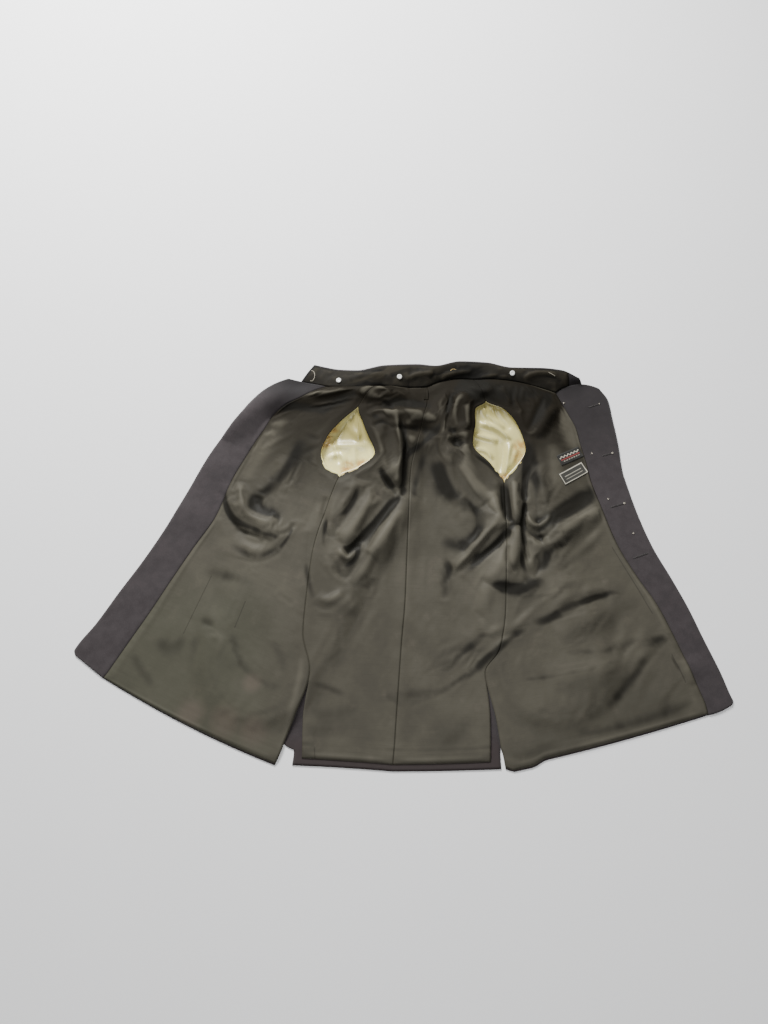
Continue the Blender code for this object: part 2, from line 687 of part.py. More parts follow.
def armhole_edge(side):
    """Points round an armhole on the edge of the body cloth, and the way along each row.

    The list starts at the top, goes down the -X side, and comes back up the
    +X side. "outward" is the step of one millimetre away from the hole along
    the cloth, with its rise.
    """
    down = row_stations()
    first = int(np.argmin(abs(down - ARMHOLE_TOP)))
    last = int(np.argmin(abs(down - ARMHOLE_BOTTOM)))
    if side == "right":
        minus = right_front_plan()[:, ::-1]
        plus = back_plan()
    else:
        minus = back_plan()[:, ::-1]
        plus = left_front_plan()
    inside = slice(first + 1, last)
    top = (minus[first, 0] + plus[first, 0]) / 2
    top_next = (minus[first - 1, 0] + plus[first - 1, 0]) / 2
    bottom = (minus[last, 0] + plus[last, 0]) / 2
    bottom_next = (minus[last + 1, 0] + plus[last + 1, 0]) / 2
    edge = np.concatenate([[top], minus[inside, 0], [bottom], plus[inside, 0][::-1]])
    next_in = np.concatenate([[top_next], minus[inside, 1], [bottom_next], plus[inside, 1][::-1]])
    edge = lifted(edge, cloth_height(edge))
    next_in = lifted(next_in, cloth_height(next_in))
    step = next_in - edge
    return edge, step / np.linalg.norm(step[:, :2], axis=1, keepdims=True)


def sleeve_ring_profile(edge):
    """Place of each ring point in the flat tube: across it, and from low to high."""
    half = len(edge) // 2
    widest = 1 + int(np.argmin(edge[1:half, 0]))
    widest_back = half + 1 + int(np.argmax(edge[half + 1:, 0]))
    across = np.zeros(len(edge))
    up = np.zeros(len(edge))
    across[:widest + 1] = -np.linspace(0, 1, widest + 1)
    across[widest:half + 1] = -np.linspace(1, 0, half - widest + 1)
    across[half:widest_back + 1] = np.linspace(0, 1, widest_back - half + 1)
    to_top = np.linspace(1, 0, len(edge) - widest_back + 1)
    across[widest_back:] = to_top[:-1]
    up[widest + 1:widest_back] = 1
    up[[widest, widest_back]] = 0.5
    return across, up


def sleeve_rings(sleeve):
    """Rings of the inner face of the sleeve's outer cloth, from armhole to cuff.

    Each ring starts under the armhole edge and slides down the sleeve while
    its lower half drops to the surface and its upper half stays under the body.
    """
    edge, outward = armhole_edge(sleeve["name"])
    across, up = sleeve_ring_profile(edge)
    start = edge + outward * ARMHOLE_OVERLAP
    start[:, 2] -= 4 * SEAM_GAP + WOOL * np.minimum(1, 1.6 * up)
    low_z = WOOL
    high_z = WOOL + 2 * SLEEVE_FOLD_RADIUS

    def flat_ring(t):
        place = sleeve_axis(sleeve, [t - 0.01, t, t + 0.01])
        along = (place[2] - place[0]) / np.linalg.norm(place[2] - place[0])
        side = np.array([-along[1], along[0]])
        plan = place[1] + (across * sleeve_half_width(t))[:, None] * side
        return lifted(plan, low_z + (high_z - low_z) * up)

    first_flat = flat_ring(SLEEVE_FIRST_FLAT)
    rings = []
    for slide in SLEEVE_SLIDES:
        ring = start + (first_flat - start) * slide
        left_low = np.clip(1 - slide / SLEEVE_LOW_DROP, 0, 1) ** 2
        left_high = 1 - smoothstep(slide / SLEEVE_HIGH_DROP)
        bottom = low_z + (start[:, 2] - low_z) * left_low
        top = high_z + (start[:, 2] - high_z) * left_high
        ring[:, 2] = bottom + (top - bottom) * up
        rings.append(ring)
    for t in np.linspace(SLEEVE_FIRST_FLAT, 1, 6)[1:]:
        rings.append(flat_ring(t))
    return np.array(rings), edge, outward, up


def ring_mesh(name, rings):
    """Open tube surface through rings, facing outward."""
    count, around, _ = rings.shape
    mesh = bpy.data.meshes.new(name)
    mesh.from_pydata((rings.reshape(-1, 3) * MM).tolist(), [], grid_faces(count, around, closed=True))
    mesh.update()
    return mesh


def tube(name, rings, material, thickness, outward):
    """Open tube through rings, thickened to its outer or inner side."""
    mesh = ring_mesh(name, rings)
    obj = new_object(name, mesh, material)
    wall = obj.modifiers.new("Wall", "SOLIDIFY")
    wall.thickness = thickness * MM
    wall.offset = 1 if outward else -1
    wall.use_rim = True
    obj.modifiers.new("Triangles", "TRIANGULATE")
    return obj


def vertex_normals(rings):
    """Outward directions of a ring surface at its points, as its mesh has them."""
    mesh = ring_mesh("normals", rings)
    normals = np.array([v.normal[:] for v in mesh.vertices]).reshape(rings.shape)
    bpy.data.meshes.remove(mesh)
    return normals


def build_sleeve(sleeve):
    """Outer tube of one sleeve and the ivory lining inside it, felled at the armhole."""
    rings, edge, outward, up = sleeve_rings(sleeve)
    side = sleeve["name"]
    upper = np.minimum(1, 2 * up)
    tube(side + "_sleeve", rings, MATERIALS["wool"], WOOL, outward=True)
    inner = (rings - SLEEVE_LINING_INSET * vertex_normals(rings))[1:]
    inner[0, :, 2] += SLEEVE_LINING_LIFT * (1 - upper)
    felled = []
    for row in RIM:
        rim = dict(zip(RIM_COLUMNS, row))
        ring = edge + outward * rim["reach"]
        if rim["reach"] < 0:
            ring[:, 2] = edge[:, 2]
        ring[:, 2] += rim["rise"] - rim["fall"] * upper
        felled.append(ring)
    inner = np.concatenate([np.array(felled), inner], axis=0)
    tube(side + "_sleeve_lining", inner, MATERIALS["sleeve_lining"], LINING, outward=False)


def surface_tree(*names):
    """Search tree over the top surfaces of finished pieces."""
    corners = []
    faces = []
    for name in names:
        mesh = bpy.data.objects[name].data
        start = len(corners)
        corners.extend(v.co.copy() for v in mesh.vertices)
        faces.extend(tuple(start + i for i in p.vertices) for p in mesh.polygons)
    return BVHTree.FromPolygons(corners, faces)


def drop_on(tree, plan, under=False):
    """Height in millimetres of the cloth's top, or its underside, at each plan point,
    and no number where there is no cloth."""
    heights = []
    above = -1 if under else 1
    for x, y in np.asarray(plan).reshape(-1, 2):
        hit = tree.ray_cast(Vector((x * MM, y * MM, above)), Vector((0, 0, -above)))
        heights.append(hit[0].z / MM if hit[0] else math.nan)
    return np.array(heights).reshape(np.asarray(plan).shape[:-1])


def seat_on(tree, place, radius, under=False):
    """Point and up direction of a small flat face that just clears the cloth there."""
    angles = np.linspace(0, 2 * math.pi, 12, endpoint=False)
    ring = np.asarray(place) + radius * np.stack([np.cos(angles), np.sin(angles)], axis=-1)
    plan = np.concatenate([ring, [place]])
    height = drop_on(tree, plan, under)
    system = np.concatenate([plan - place, np.ones((len(plan), 1))], axis=1)
    tilt, *_ = np.linalg.lstsq(system, height, rcond=None)
    over = height - system @ tilt
    clear = over.min() - SEAM_GAP if under else over.max() + SEAM_GAP
    up = Vector((-tilt[0], -tilt[1], 1)).normalized()
    return Vector((place[0], place[1], tilt[2] + clear)) * MM, up


def disc(name, centre, up, diameter, thickness, material, edge):
    """Round button or stud with softened edges, standing on its centre point."""
    work = bmesh.new()
    bmesh.ops.create_cone(work, cap_ends=True, segments=20, radius1=diameter * MM / 2,
                          radius2=diameter * MM / 2, depth=thickness * MM)
    bmesh.ops.translate(work, verts=work.verts, vec=(0, 0, thickness * MM / 2))
    mesh = bpy.data.meshes.new(name)
    work.to_mesh(mesh)
    work.free()
    obj = new_object(name, mesh, material)
    obj.location = centre
    obj.rotation_euler = up.to_track_quat("Z", "Y").to_euler()
    bevel = obj.modifiers.new("Edge", "BEVEL")
    bevel.width = edge * MM
    bevel.segments = 1
    bevel.limit_method = "ANGLE"
    return obj


def build_buttons():
    """Buttons sewn to the outside of the wearer's right front, under the cloth."""
    tree = surface_tree("right_front")
    for index, place in enumerate(button_places(), start=1):
        top, up = seat_on(tree, place, BUTTON_DIAMETER / 2, under=True)
        disc("button_" + str(index), top - up * BUTTON_THICKNESS * MM, up, BUTTON_DIAMETER,
             BUTTON_THICKNESS, MATERIALS["metal"], BUTTON_EDGE)


def build_studs():
    tree = surface_tree("collar_lining")
    for index, place in enumerate(STUDS, start=1):
        centre, up = seat_on(tree, np.array(place, float), STUD_DIAMETER / 2)
        disc("collar_stud_" + str(index), centre, up, STUD_DIAMETER, STUD_THICKNESS,
             MATERIALS["stud"], STUD_EDGE)


def build_hook():
    """Bent wire on the collar lining, a curve with a round section."""
    tree = surface_tree("collar_lining")
    centre, up = seat_on(tree, np.array(HOOK_PLACE, float), HOOK_WIDTH / 2 + HOOK_WIRE)
    curve = bpy.data.curves.new("collar_hook", "CURVE")
    curve.dimensions = "3D"
    curve.bevel_depth = HOOK_WIRE * MM / 2
    curve.bevel_resolution = 1
    curve.use_fill_caps = True
    angles = np.radians(np.linspace(200, 20, 9))
    bend = [(HOOK_WIDTH / 2 * math.cos(a), HOOK_HEIGHT / 2 * math.sin(a)) for a in angles]
    points = bend + [(bend[-1][0], HOOK_TIP)]
    spline = curve.splines.new("POLY")
    spline.points.add(len(points) - 1)
    for point, (x, y) in zip(spline.points, points):
        point.co = (x * MM, y * MM, (HOOK_WIRE + SEAM_GAP) / 2 * MM, 1)
    obj = bpy.data.objects.new("collar_hook", curve)
    obj.data.materials.append(MATERIALS["metal"])
    JACKET.objects.link(obj)
    obj.location = centre
    obj.rotation_euler = up.to_track_quat("Z", "Y").to_euler()


def draped_patch(name, tree, centre, width, height, turn, thickness, cells, material):
    """Small cloth patch laid on a surface, its grid dropped onto it. Each point
    rests on the highest place within half a cell, so that no ridge comes through."""
    across = np.linspace(-width / 2, width / 2, cells[0] + 1)
    down = np.linspace(height / 2, -height / 2, cells[1] + 1)
    local_x, local_y = np.meshgrid(across, down)
    angle = math.radians(turn)
    plan = np.stack([
        centre[0] + local_x * math.cos(angle) - local_y * math.sin(angle),
        centre[1] + local_x * math.sin(angle) + local_y * math.cos(angle),
    ], axis=-1)
    reach = 0.5 * max(width / cells[0], height / cells[1])
    nearby = [drop_on(tree, plan + (x, y)) for x in (-reach, 0, reach) for y in (-reach, 0, reach)]
    cloth_wall(name, lifted(plan, np.nanmax(nearby, axis=0) + 2 * SEAM_GAP), thickness, material)


def build_labels():
    tree = surface_tree("left_front_lining")
    for row in LABELS:
        label = dict(zip(LABEL_COLUMNS, row))
        draped_patch(label["name"], tree, (label["x"], label["y"]), label["width"],
                     label["height"], label["turn"], LABEL_THICKNESS, (12, 6), MATERIALS["label"])


def build_hanger():
    tree = surface_tree("back_lining_right", "back_lining_left")
    draped_patch("hanger_loop", tree, HANGER_PLACE, HANGER_WIDTH, HANGER_LENGTH, 0,
                 LINING, (2, 5), MATERIALS["lining"])


def make_materials():
    materials = {}
    for name, (red, green, blue, roughness) in COLOURS.items():
        material = bpy.data.materials.new(name)
        material.use_nodes = True
        shader = material.node_tree.nodes["Principled BSDF"]
        shader.inputs["Base Color"].default_value = (red, green, blue, 1)
        shader.inputs["Roughness"].default_value = roughness
        shader.inputs["Metallic"].default_value = METALLIC.get(name, 0.0)
        materials[name] = material
    return materials


for old in list(bpy.data.objects):
    bpy.data.objects.remove(old, do_unlink=True)

JACKET = bpy.data.collections.new("Patrol jacket")
bpy.context.scene.collection.children.link(JACKET)
MATERIALS = make_materials()

FACING_END = COLUMNS_FACING
build_front("right", right_front_plan(), (0, FACING_END), (FACING_END, None), FACING_END)
build_front("left", left_front_plan(), (COLUMNS_FRONT, None), (0, COLUMNS_FRONT), COLUMNS_FRONT)
build_back()
build_collar()
for sleeve_row in SLEEVES:
    build_sleeve(dict(zip(SLEEVE_COLUMNS, sleeve_row)))
build_buttons()
build_studs()
build_hook()
build_labels()
build_hanger()
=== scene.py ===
"""Patrol jacket laid open on a pale floor with its lining up.

The collar points to +Y and the hem to -Y. The wearer's right front is at -X and
the wearer's left front, with the buttonholes, at +X. Tables and shapes are in
millimetres and become metres when a mesh is made.
"""

import functools
import math

import bpy
import numpy as np
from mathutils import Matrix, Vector
from mathutils.bvhtree import BVHTree


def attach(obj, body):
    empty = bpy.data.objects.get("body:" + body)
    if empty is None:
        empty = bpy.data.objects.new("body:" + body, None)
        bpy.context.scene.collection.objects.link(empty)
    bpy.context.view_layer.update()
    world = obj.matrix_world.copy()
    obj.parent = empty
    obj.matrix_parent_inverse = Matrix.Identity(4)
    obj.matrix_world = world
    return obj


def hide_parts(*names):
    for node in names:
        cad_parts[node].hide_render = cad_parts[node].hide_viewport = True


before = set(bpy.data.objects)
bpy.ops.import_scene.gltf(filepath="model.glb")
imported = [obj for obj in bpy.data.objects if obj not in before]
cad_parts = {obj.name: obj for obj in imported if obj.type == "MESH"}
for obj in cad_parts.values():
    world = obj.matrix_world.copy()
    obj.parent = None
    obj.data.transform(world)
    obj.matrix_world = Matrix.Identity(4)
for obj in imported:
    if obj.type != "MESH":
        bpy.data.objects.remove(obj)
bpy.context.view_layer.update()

bl_info = {
    "name": "Patrol Jacket",
    "version": (1, 0, 0),
    "blender": (4, 5, 0),
    "location": "View3D > Sidebar > Jacket",
    "description": "Cloth, linings, fastenings and stage of a patrol jacket laid open",
    "category": "Object",
}

MM = 0.001

# Pattern of the body, as the solids have it but for the right front's hem corner and
# a millimetre at the right vent. "down" is the share of the length from neck to hem;
# the other columns are the x and y of the seven lines that the panels hang between,
# and the gaps that part the sides of a side seam.
LEVEL_COLUMNS = (
    "down",
    "right_edge_x", "right_edge_y", "right_facing_x", "right_facing_y",
    "right_seam_x", "right_seam_y", "right_gap_front", "right_gap_back",
    "centre_x", "centre_y",
    "left_seam_x", "left_seam_y", "left_gap_front", "left_gap_back",
    "left_facing_x", "left_facing_y", "left_edge_x", "left_edge_y",
)
LEVELS = (
    (0.000, -230, 372, -150, 351, -40, 354, 0, 0, 56, 354, 150, 369, 0, 0, 318, 341, 408, 350),
    (0.028, -249, 364, -169, 344, -56, 341, 0, 0, 56, 343, 158, 354, 0, 0, 326, 325, 424, 325),
    (0.077, -278, 346, -201, 325, -82, 310, 0, 0, 55, 318, 172, 319, 0, 0, 342, 292, 430, 287),
    (0.126, -302, 321, -234, 310, -97, 274, 24, 24, 48, 288, 181, 299, 31, 31, 356, 262, 435, 255),
    (0.170, -320, 296, -259, 289, -104, 241, 44, 44, 40, 255, 194, 262, 46, 46, 362, 232, 439, 225),
    (0.211, -338, 273, -274, 263, -104, 208, 56, 56, 31, 218, 197, 222, 55, 54, 369, 204, 441, 197),
    (0.253, -356, 249, -291, 236, -114, 176, 33, 30, 22, 182, 208, 182, 26, 28, 375, 175, 444, 169),
    (0.277, -366, 235, -300, 220, -121, 159, 0, 0, 19, 152, 205, 145, 0, 0, 378, 159, 448, 153),
    (0.377, -401, 173, -335, 154, -148, 85, 0, 0, 16, 78, 206, 70, 0, 0, 399, 92, 466, 88),
    (0.488, -436, 103, -365, 77, -172, 0, 0, 0, 12, -5, 203, -10, 0, 0, 425, 19, 492, 17),
    (0.589, -471, 40, -406, 13, -181, -80, 0, 0, 8, -92, 200, -105, 0, 0, 459, -44, 523, -44),
    (0.684, -506, -17, -443, -47, -186, -155, 0, 0, 1, -170, 186, -184, 0, 0, 494, -100, 551, -102),
    (0.775, -542, -70, -478, -106, -172, -225, 0, 0, -4, -235, 158, -230, 0, 0, 520, -158, 574, -159),
    (0.886, -585, -136, -522, -176, -195, -310, 4, -4, -10, -318, 176, -315, 0, 0, 549, -230, 603, -229),
    (0.953, -617, -178, -549, -219, -209, -360, 10, -10, -14, -373, 183, -366, 0, 0, 565, -274, 618, -272),
    (0.965, -621, -186, -554, -227, -211, -369, 11, 11, -15, -382, 184, -375, 2, 2, 568, -282, 621, -279),
    (1.000, -618, -195, -562, -238, -218, -397, 16, 16, -17, -408, 187, -404, 4, 4, 573, -306, 619, -287),
)
ARMHOLE_TOP = 0.077
ARMHOLE_BOTTOM = 0.277
BODY_LENGTH = 791
SEAM_LINE = 0.06        # clear space between two panels at a seam

# Outer cloth that the back lining leaves bare beside each vent, measured from
# the side seam's line
VENT_COLUMNS = ("down", "right", "left")
VENT_STRIPS = (
    (0.800, 0, 0),
    (0.8305, 2.5, 2.5),
    (0.886, 11, 11),
    (0.953, 25, 19),
    (1.000, 33, 24),
)

# Loose wave of the left front's hem beside its vent
HEM_WAVE = 8
HEM_WAVE_RISE = 0.04    # shares of the strip's width where it starts and ends
HEM_WAVE_END = 0.13
HEM_WAVE_FALL = 0.07
HEM_WAVE_LENGTH = 0.07  # share of the length over which it fades upward

# Bow of a strip's top edge and hem in the middle of the strip, up the page, mm. The
# right front's hem hangs 6 mm lower there than in the solids.
BOWS = {
    "right_facing": (0, 0),
    "right_front": (-5, -9),
    "back_right": (-2, 1),
    "back_left": (8, -1),
    "left_front": (8, -5),
    "left_facing": (14, -3),
}
BOW_REACH = 0.15        # share of the length over which a bow fades

# Strips of the cloth: the line and the side of a seam where each starts and ends, and
# its usual width
STRIPS = {
    "right_facing": (("right_edge", ""), ("right_facing", ""), 72),
    "right_front": (("right_facing", ""), ("right_seam", "front"), 250),
    "back_right": (("right_seam", "back"), ("centre", ""), 175),
    "back_left": (("centre", ""), ("left_seam", "back"), 180),
    "left_front": (("left_seam", "front"), ("left_facing", ""), 260),
    "left_facing": (("left_facing", ""), ("left_edge", ""), 76),
}

# Middle line of each flattened sleeve under the body: head, half way and cuff
SLEEVE_COLUMNS = ("name", "head_x", "head_y", "half_x", "half_y", "cuff_x", "cuff_y")
SLEEVES = (
    ("right", -105, 235, -165, 20, -268, -215),
    ("left", 198, 235, 225, 30, 288, -215),
)
SLEEVE_BICEP = 184
SLEEVE_CUFF = 140
SLEEVE_FOLD_RADIUS = 2.2
SLEEVE_TURN_STEPS = 5
SLEEVE_FIRST_FLAT = 0.27
SLEEVE_LOW_DROP = 0.32
SLEEVE_HIGH_DROP = 0.5
ARMHOLE_OVERLAP = 4

# How the body cloth rises over what lies under it, as the solids have it
MOUND_HEIGHT = 11.5
MOUND_HEAD = 4.5
MOUND_HEAD_END = 0.3
MOUND_START = 10
MOUND_SLOPE = 60
SLEEVE_CLEARANCE = 9.4
CLEARANCE_START = 22
CLEARANCE_SLOPE = 45
BUTTON_SPACING = 107
BUTTON_FIRST = 30
BUTTON_INSET = 26
BUTTON_BUMP = 5.4
BUTTON_BUMP_WIDTH = 40
CALM_SHARE = 0.2
CALM_START = 6
CALM_WIDTH = 30
PRESSED = 0.8

# Largest folds of the outer cloth: a curve through three points, its half width and
# its height. A negative height is a trough.
FOLD_COLUMNS = ("x1", "y1", "x2", "y2", "x3", "y3", "half_width", "height")
FOLDS = (
    (-350, 235, -285, 312, -160, 332, 24, 12),
    (-300, 225, -225, 290, -90, 312, 18, -6),
    (-330, 150, -300, 60, -215, 55, 20, 8),
    (-350, 130, -338, 60, -240, 20, 16, -4),
    (-235, 205, -255, 150, -310, 120, 16, 5),
    (20, 150, -40, 30, -95, -60, 24, 8),
    (0, 175, -65, 40, -120, -50, 18, -9),
    (-75, 150, -105, 30, -150, -30, 26, 6),
    (-40, 300, -28, 220, 5, 140, 16, 8),
    (-8, 250, -15, 200, -5, 150, 14, -8),
    (-130, -75, -110, -95, -75, -90, 22, 5),
    (15, 285, 55, 300, 100, 280, 24, 8),
    (-90, 322, -40, 332, 20, 345, 18, 9),
    (-75, 285, -20, 300, 15, 325, 16, -5),
    (115, 345, 128, 270, 140, 200, 15, 10),
    (85, 335, 90, 250, 105, 180, 16, 7),
    (100, 340, 108, 255, 125, 190, 12, -6),
    (110, 240, 135, 155, 205, 85, 16, -6),
    (95, 220, 110, 130, 165, 50, 24, 7),
    (205, 65, 165, -15, 110, -110, 18, -6),
    (230, 60, 195, -30, 140, -120, 26, 6),
    (262, 200, 258, 70, 285, -40, 16, -6),
    (295, 195, 290, 60, 315, -30, 24, 7),
    (195, -40, 260, -70, 330, -45, 22, 7),
    (385, 100, 330, 60, 270, 35, 24, 7),
    (455, -80, 350, -130, 290, -155, 24, 5),
    (490, -170, 400, -215, 270, -245, 24, 5),
    (575, -200, 520, -240, 445, -300, 22, 4),
    (330, -75, 270, -115, 215, -150, 22, 4),
)

# Creases of the loose lining over those folds: a curve through three points,
# the half widths on its left and right hand going from point 1 to point 3, and
# the height, negative for a trough
CREASE_COLUMNS = ("x1", "y1", "x2", "y2", "x3", "y3", "left", "right", "height")
CREASES = (
    # right front: roll along the facing, chest panel and pouch
    (-256, 294, -269, 204, -289, 118, 25, 22, 6),
    (-207, 286, -201, 214, -230, 113, 15, 18, -8),
    (-343, 139, -322, 63, -241, 38, 12, 10, -12),
    (-315, 150, -298, 84, -239, 63, 17, 11, 8),
    (-241, 38, -219, 45, -210, 63, 6, 6, -5),
    (-331, 37, -272, 6, -213, 47, 13, 11, 3.5),
    (-322, -2, -267, -14, -213, 32, 10, 11, -3.5),
    (-198, 244, -177, 239, -161, 233, 5, 6, -4),
    (-205, 201, -182, 212, -160, 219, 6, 6, -4),
    (-256, 294, -210, 313, -137, 294, 9, 11, -6),
    # shoulder roll above the right armhole
    (-211, 353, -143, 333, -75, 356, 13, 11, 8),
    (-272, 300, -184, 305, -90, 322, 11, 10, -9),
    (-138, 364, -96, 370, -64, 364, 6, 8, -4),
    # flap of the back over the right armhole's edge
    (-15, 305, -3, 220, -7, 136, 7, 36, 14),
    (7, 258, 11, 187, 2, 113, 15, 6, -12),
    (-42, 174, -27, 139, -7, 122, 5, 6, -9),
    (-81, 325, -54, 350, -12, 341, 13, 11, 10),
    (-69, 307, -42, 316, -10, 296, 5, 5, -7),
    (-64, 283, -39, 296, -12, 279, 7, 7, 6),
    (-53, 258, -37, 268, -12, 253, 5, 5, -5),
    (-33, 242, -27, 204, -20, 160, 8, 9, -4),
    # below the right armhole
    (-86, 155, -104, 115, -134, 63, 17, 17, 7),
    (-144, 115, -150, 76, -139, 32, 8, 10, -6),
    (0, 118, -52, 55, -107, -4, 12, 9, -15),
    (30, 121, -13, 55, -55, -7, 22, 18, 9),
    (-42, 118, -81, 71, -118, 21, 14, 20, 9),
    (-119, 8, -102, -10, -89, 14, 6, 6, 6),
    (-137, -2, -106, -41, -63, 4, 8, 8, -10),
    (-38, 3, -59, -37, -65, -83, 11, 11, -3.5),
    (-178, 45, -181, -7, -176, -57, 10, 11, -3),
    # rolls across the neck
    (-33, 286, 21, 293, 75, 273, 14, 15, 9),
    (-33, 252, 26, 260, 77, 252, 9, 10, -9),
    (-27, 229, 32, 232, 79, 203, 14, 17, 6),
    (-22, 309, 22, 321, 65, 300, 10, 10, -5),
    # bunch beside the left armhole
    (130, 338, 117, 283, 113, 232, 17, 18, 15),
    (114, 232, 125, 173, 167, 101, 22, 13, 13),
    (167, 101, 180, 54, 141, 1, 17, 17, 8),
    (111, 338, 86, 286, 74, 240, 6, 11, -12),
    (74, 240, 82, 178, 123, 114, 8, 16, -9),
    (123, 114, 148, 73, 139, 20, 11, 14, -5),
    (87, 257, 115, 249, 143, 256, 5, 5, -7),
    (91, 233, 116, 222, 141, 230, 5, 5, -5),
    (103, 315, 121, 306, 141, 309, 5, 5, -5),
    (142, 353, 163, 338, 190, 344, 10, 10, 6),
    # hanging folds below the left armhole
    (202, 144, 206, 103, 209, 60, 8, 8, -18),
    (181, 128, 189, 84, 203, 51, 11, 11, 9),
    (228, 150, 223, 103, 228, 57, 11, 10, 11),
    (214, 44, 172, 6, 106, -38, 7, 12, -10),
    (192, 74, 157, 26, 95, -39, 5, 12, 8),
    (104, -23, 83, -49, 84, -91, 11, 14, -7),
    (226, 18, 190, -24, 140, -70, 20, 20, 4),
    (228, 57, 222, 6, 205, -39, 11, 11, 8),
    (245, 103, 239, 41, 247, -18, 5, 5, -14),
    (208, 14, 204, -15, 221, -39, 6, 6, -7),
    (152, -49, 203, -69, 248, -43, 10, 11, -8),
    (77, 57, 110, 30, 128, -12, 15, 15, -3),
    # pouch of the left front
    (395, 138, 335, 98, 268, 46, 24, 18, -11),
    (402, 98, 350, 60, 292, 22, 18, 24, 6),
    (244, 84, 262, 54, 293, 78, 6, 6, 7),
    (243, 54, 270, 31, 300, 57, 6, 6, -7),
    (249, 33, 276, 15, 316, 36, 8, 10, 5),
    (290, 30, 319, -2, 327, -55, 15, 18, -4),
    (260, -2, 267, -23, 255, -49, 8, 8, -5),
    # beside and above the left armhole
    (257, 226, 248, 164, 243, 103, 6, 9, -11),
    (271, 184, 274, 139, 282, 98, 14, 14, 6),
    (295, 329, 273, 286, 256, 249, 9, 10, -10),
    (320, 315, 295, 277, 274, 237, 13, 14, 7),
    (234, 350, 227, 321, 237, 292, 8, 9, -6),
    (206, 350, 214, 329, 227, 309, 8, 8, 4),
    # soft hollows down the fronts and the back
    (-212, 50, -236, 16, -274, -8, 5, 9, -3),
    (-235, -76, -221, -90, -205, -100, 8, 8, -2),
    (-384, -128, -311, -178, -230, -264, 13, 15, -3),
    (-454, -194, -378, -149, -305, -227, 16, 18, 3),
    (-430, -60, -380, -110, -300, -120, 18, 18, 2),
    (-169, -95, -135, -108, -100, -72, 9, 9, -4),
    (-160, -80, -135, -90, -108, -62, 10, 9, 3),
    (-56, -43, -80, -115, -141, -211, 10, 14, -2.4),
    (-30, -40, -52, -112, -110, -215, 12, 12, 1.6),
    (62, 197, 79, 137, 113, 86, 16, 12, -3),
    (40, 190, 32, 120, 28, 40, 9, 9, 1.6),
    (-16, 60, -26, 0, -30, -60, 10, 12, 1.8),
    (94, -12, 79, -44, 75, -86, 10, 10, -2),
    (60, -90, 40, -180, 20, -260, 22, 22, 1.4),
    # long shallow folds toward the hem of the left front
    (415, -84, 349, -93, 280, -124, 8, 9, -6),
    (405, -68, 345, -76, 280, -106, 10, 9, 3),
    (305, -72, 242, -117, 169, -196, 9, 10, 3.5),
    (232, -148, 169, -175, 125, -227, 8, 9, -4.5),
    (125, -227, 67, -270, 4, -292, 9, 10, -4),
    (212, -136, 152, -166, 108, -216, 8, 8, 2.5),
    (166, -153, 125, -188, 36, -233, 9, 10, -3),
    (180, -112, 128, -160, 60, -196, 12, 10, 2),
    (507, -161, 395, -201, 232, -242, 10, 12, -3.5),
    (500, -140, 390, -180, 250, -222, 11, 12, 2.2),
    (516, -157, 459, -214, 385, -295, 12, 12, -4),
    (498, -162, 436, -216, 366, -290, 11, 11, 2.2),
    (536, -282, 431, -312, 327, -337, 12, 12, -3),
    (370, -270, 300, -290, 220, -300, 20, 20, 1.6),
)

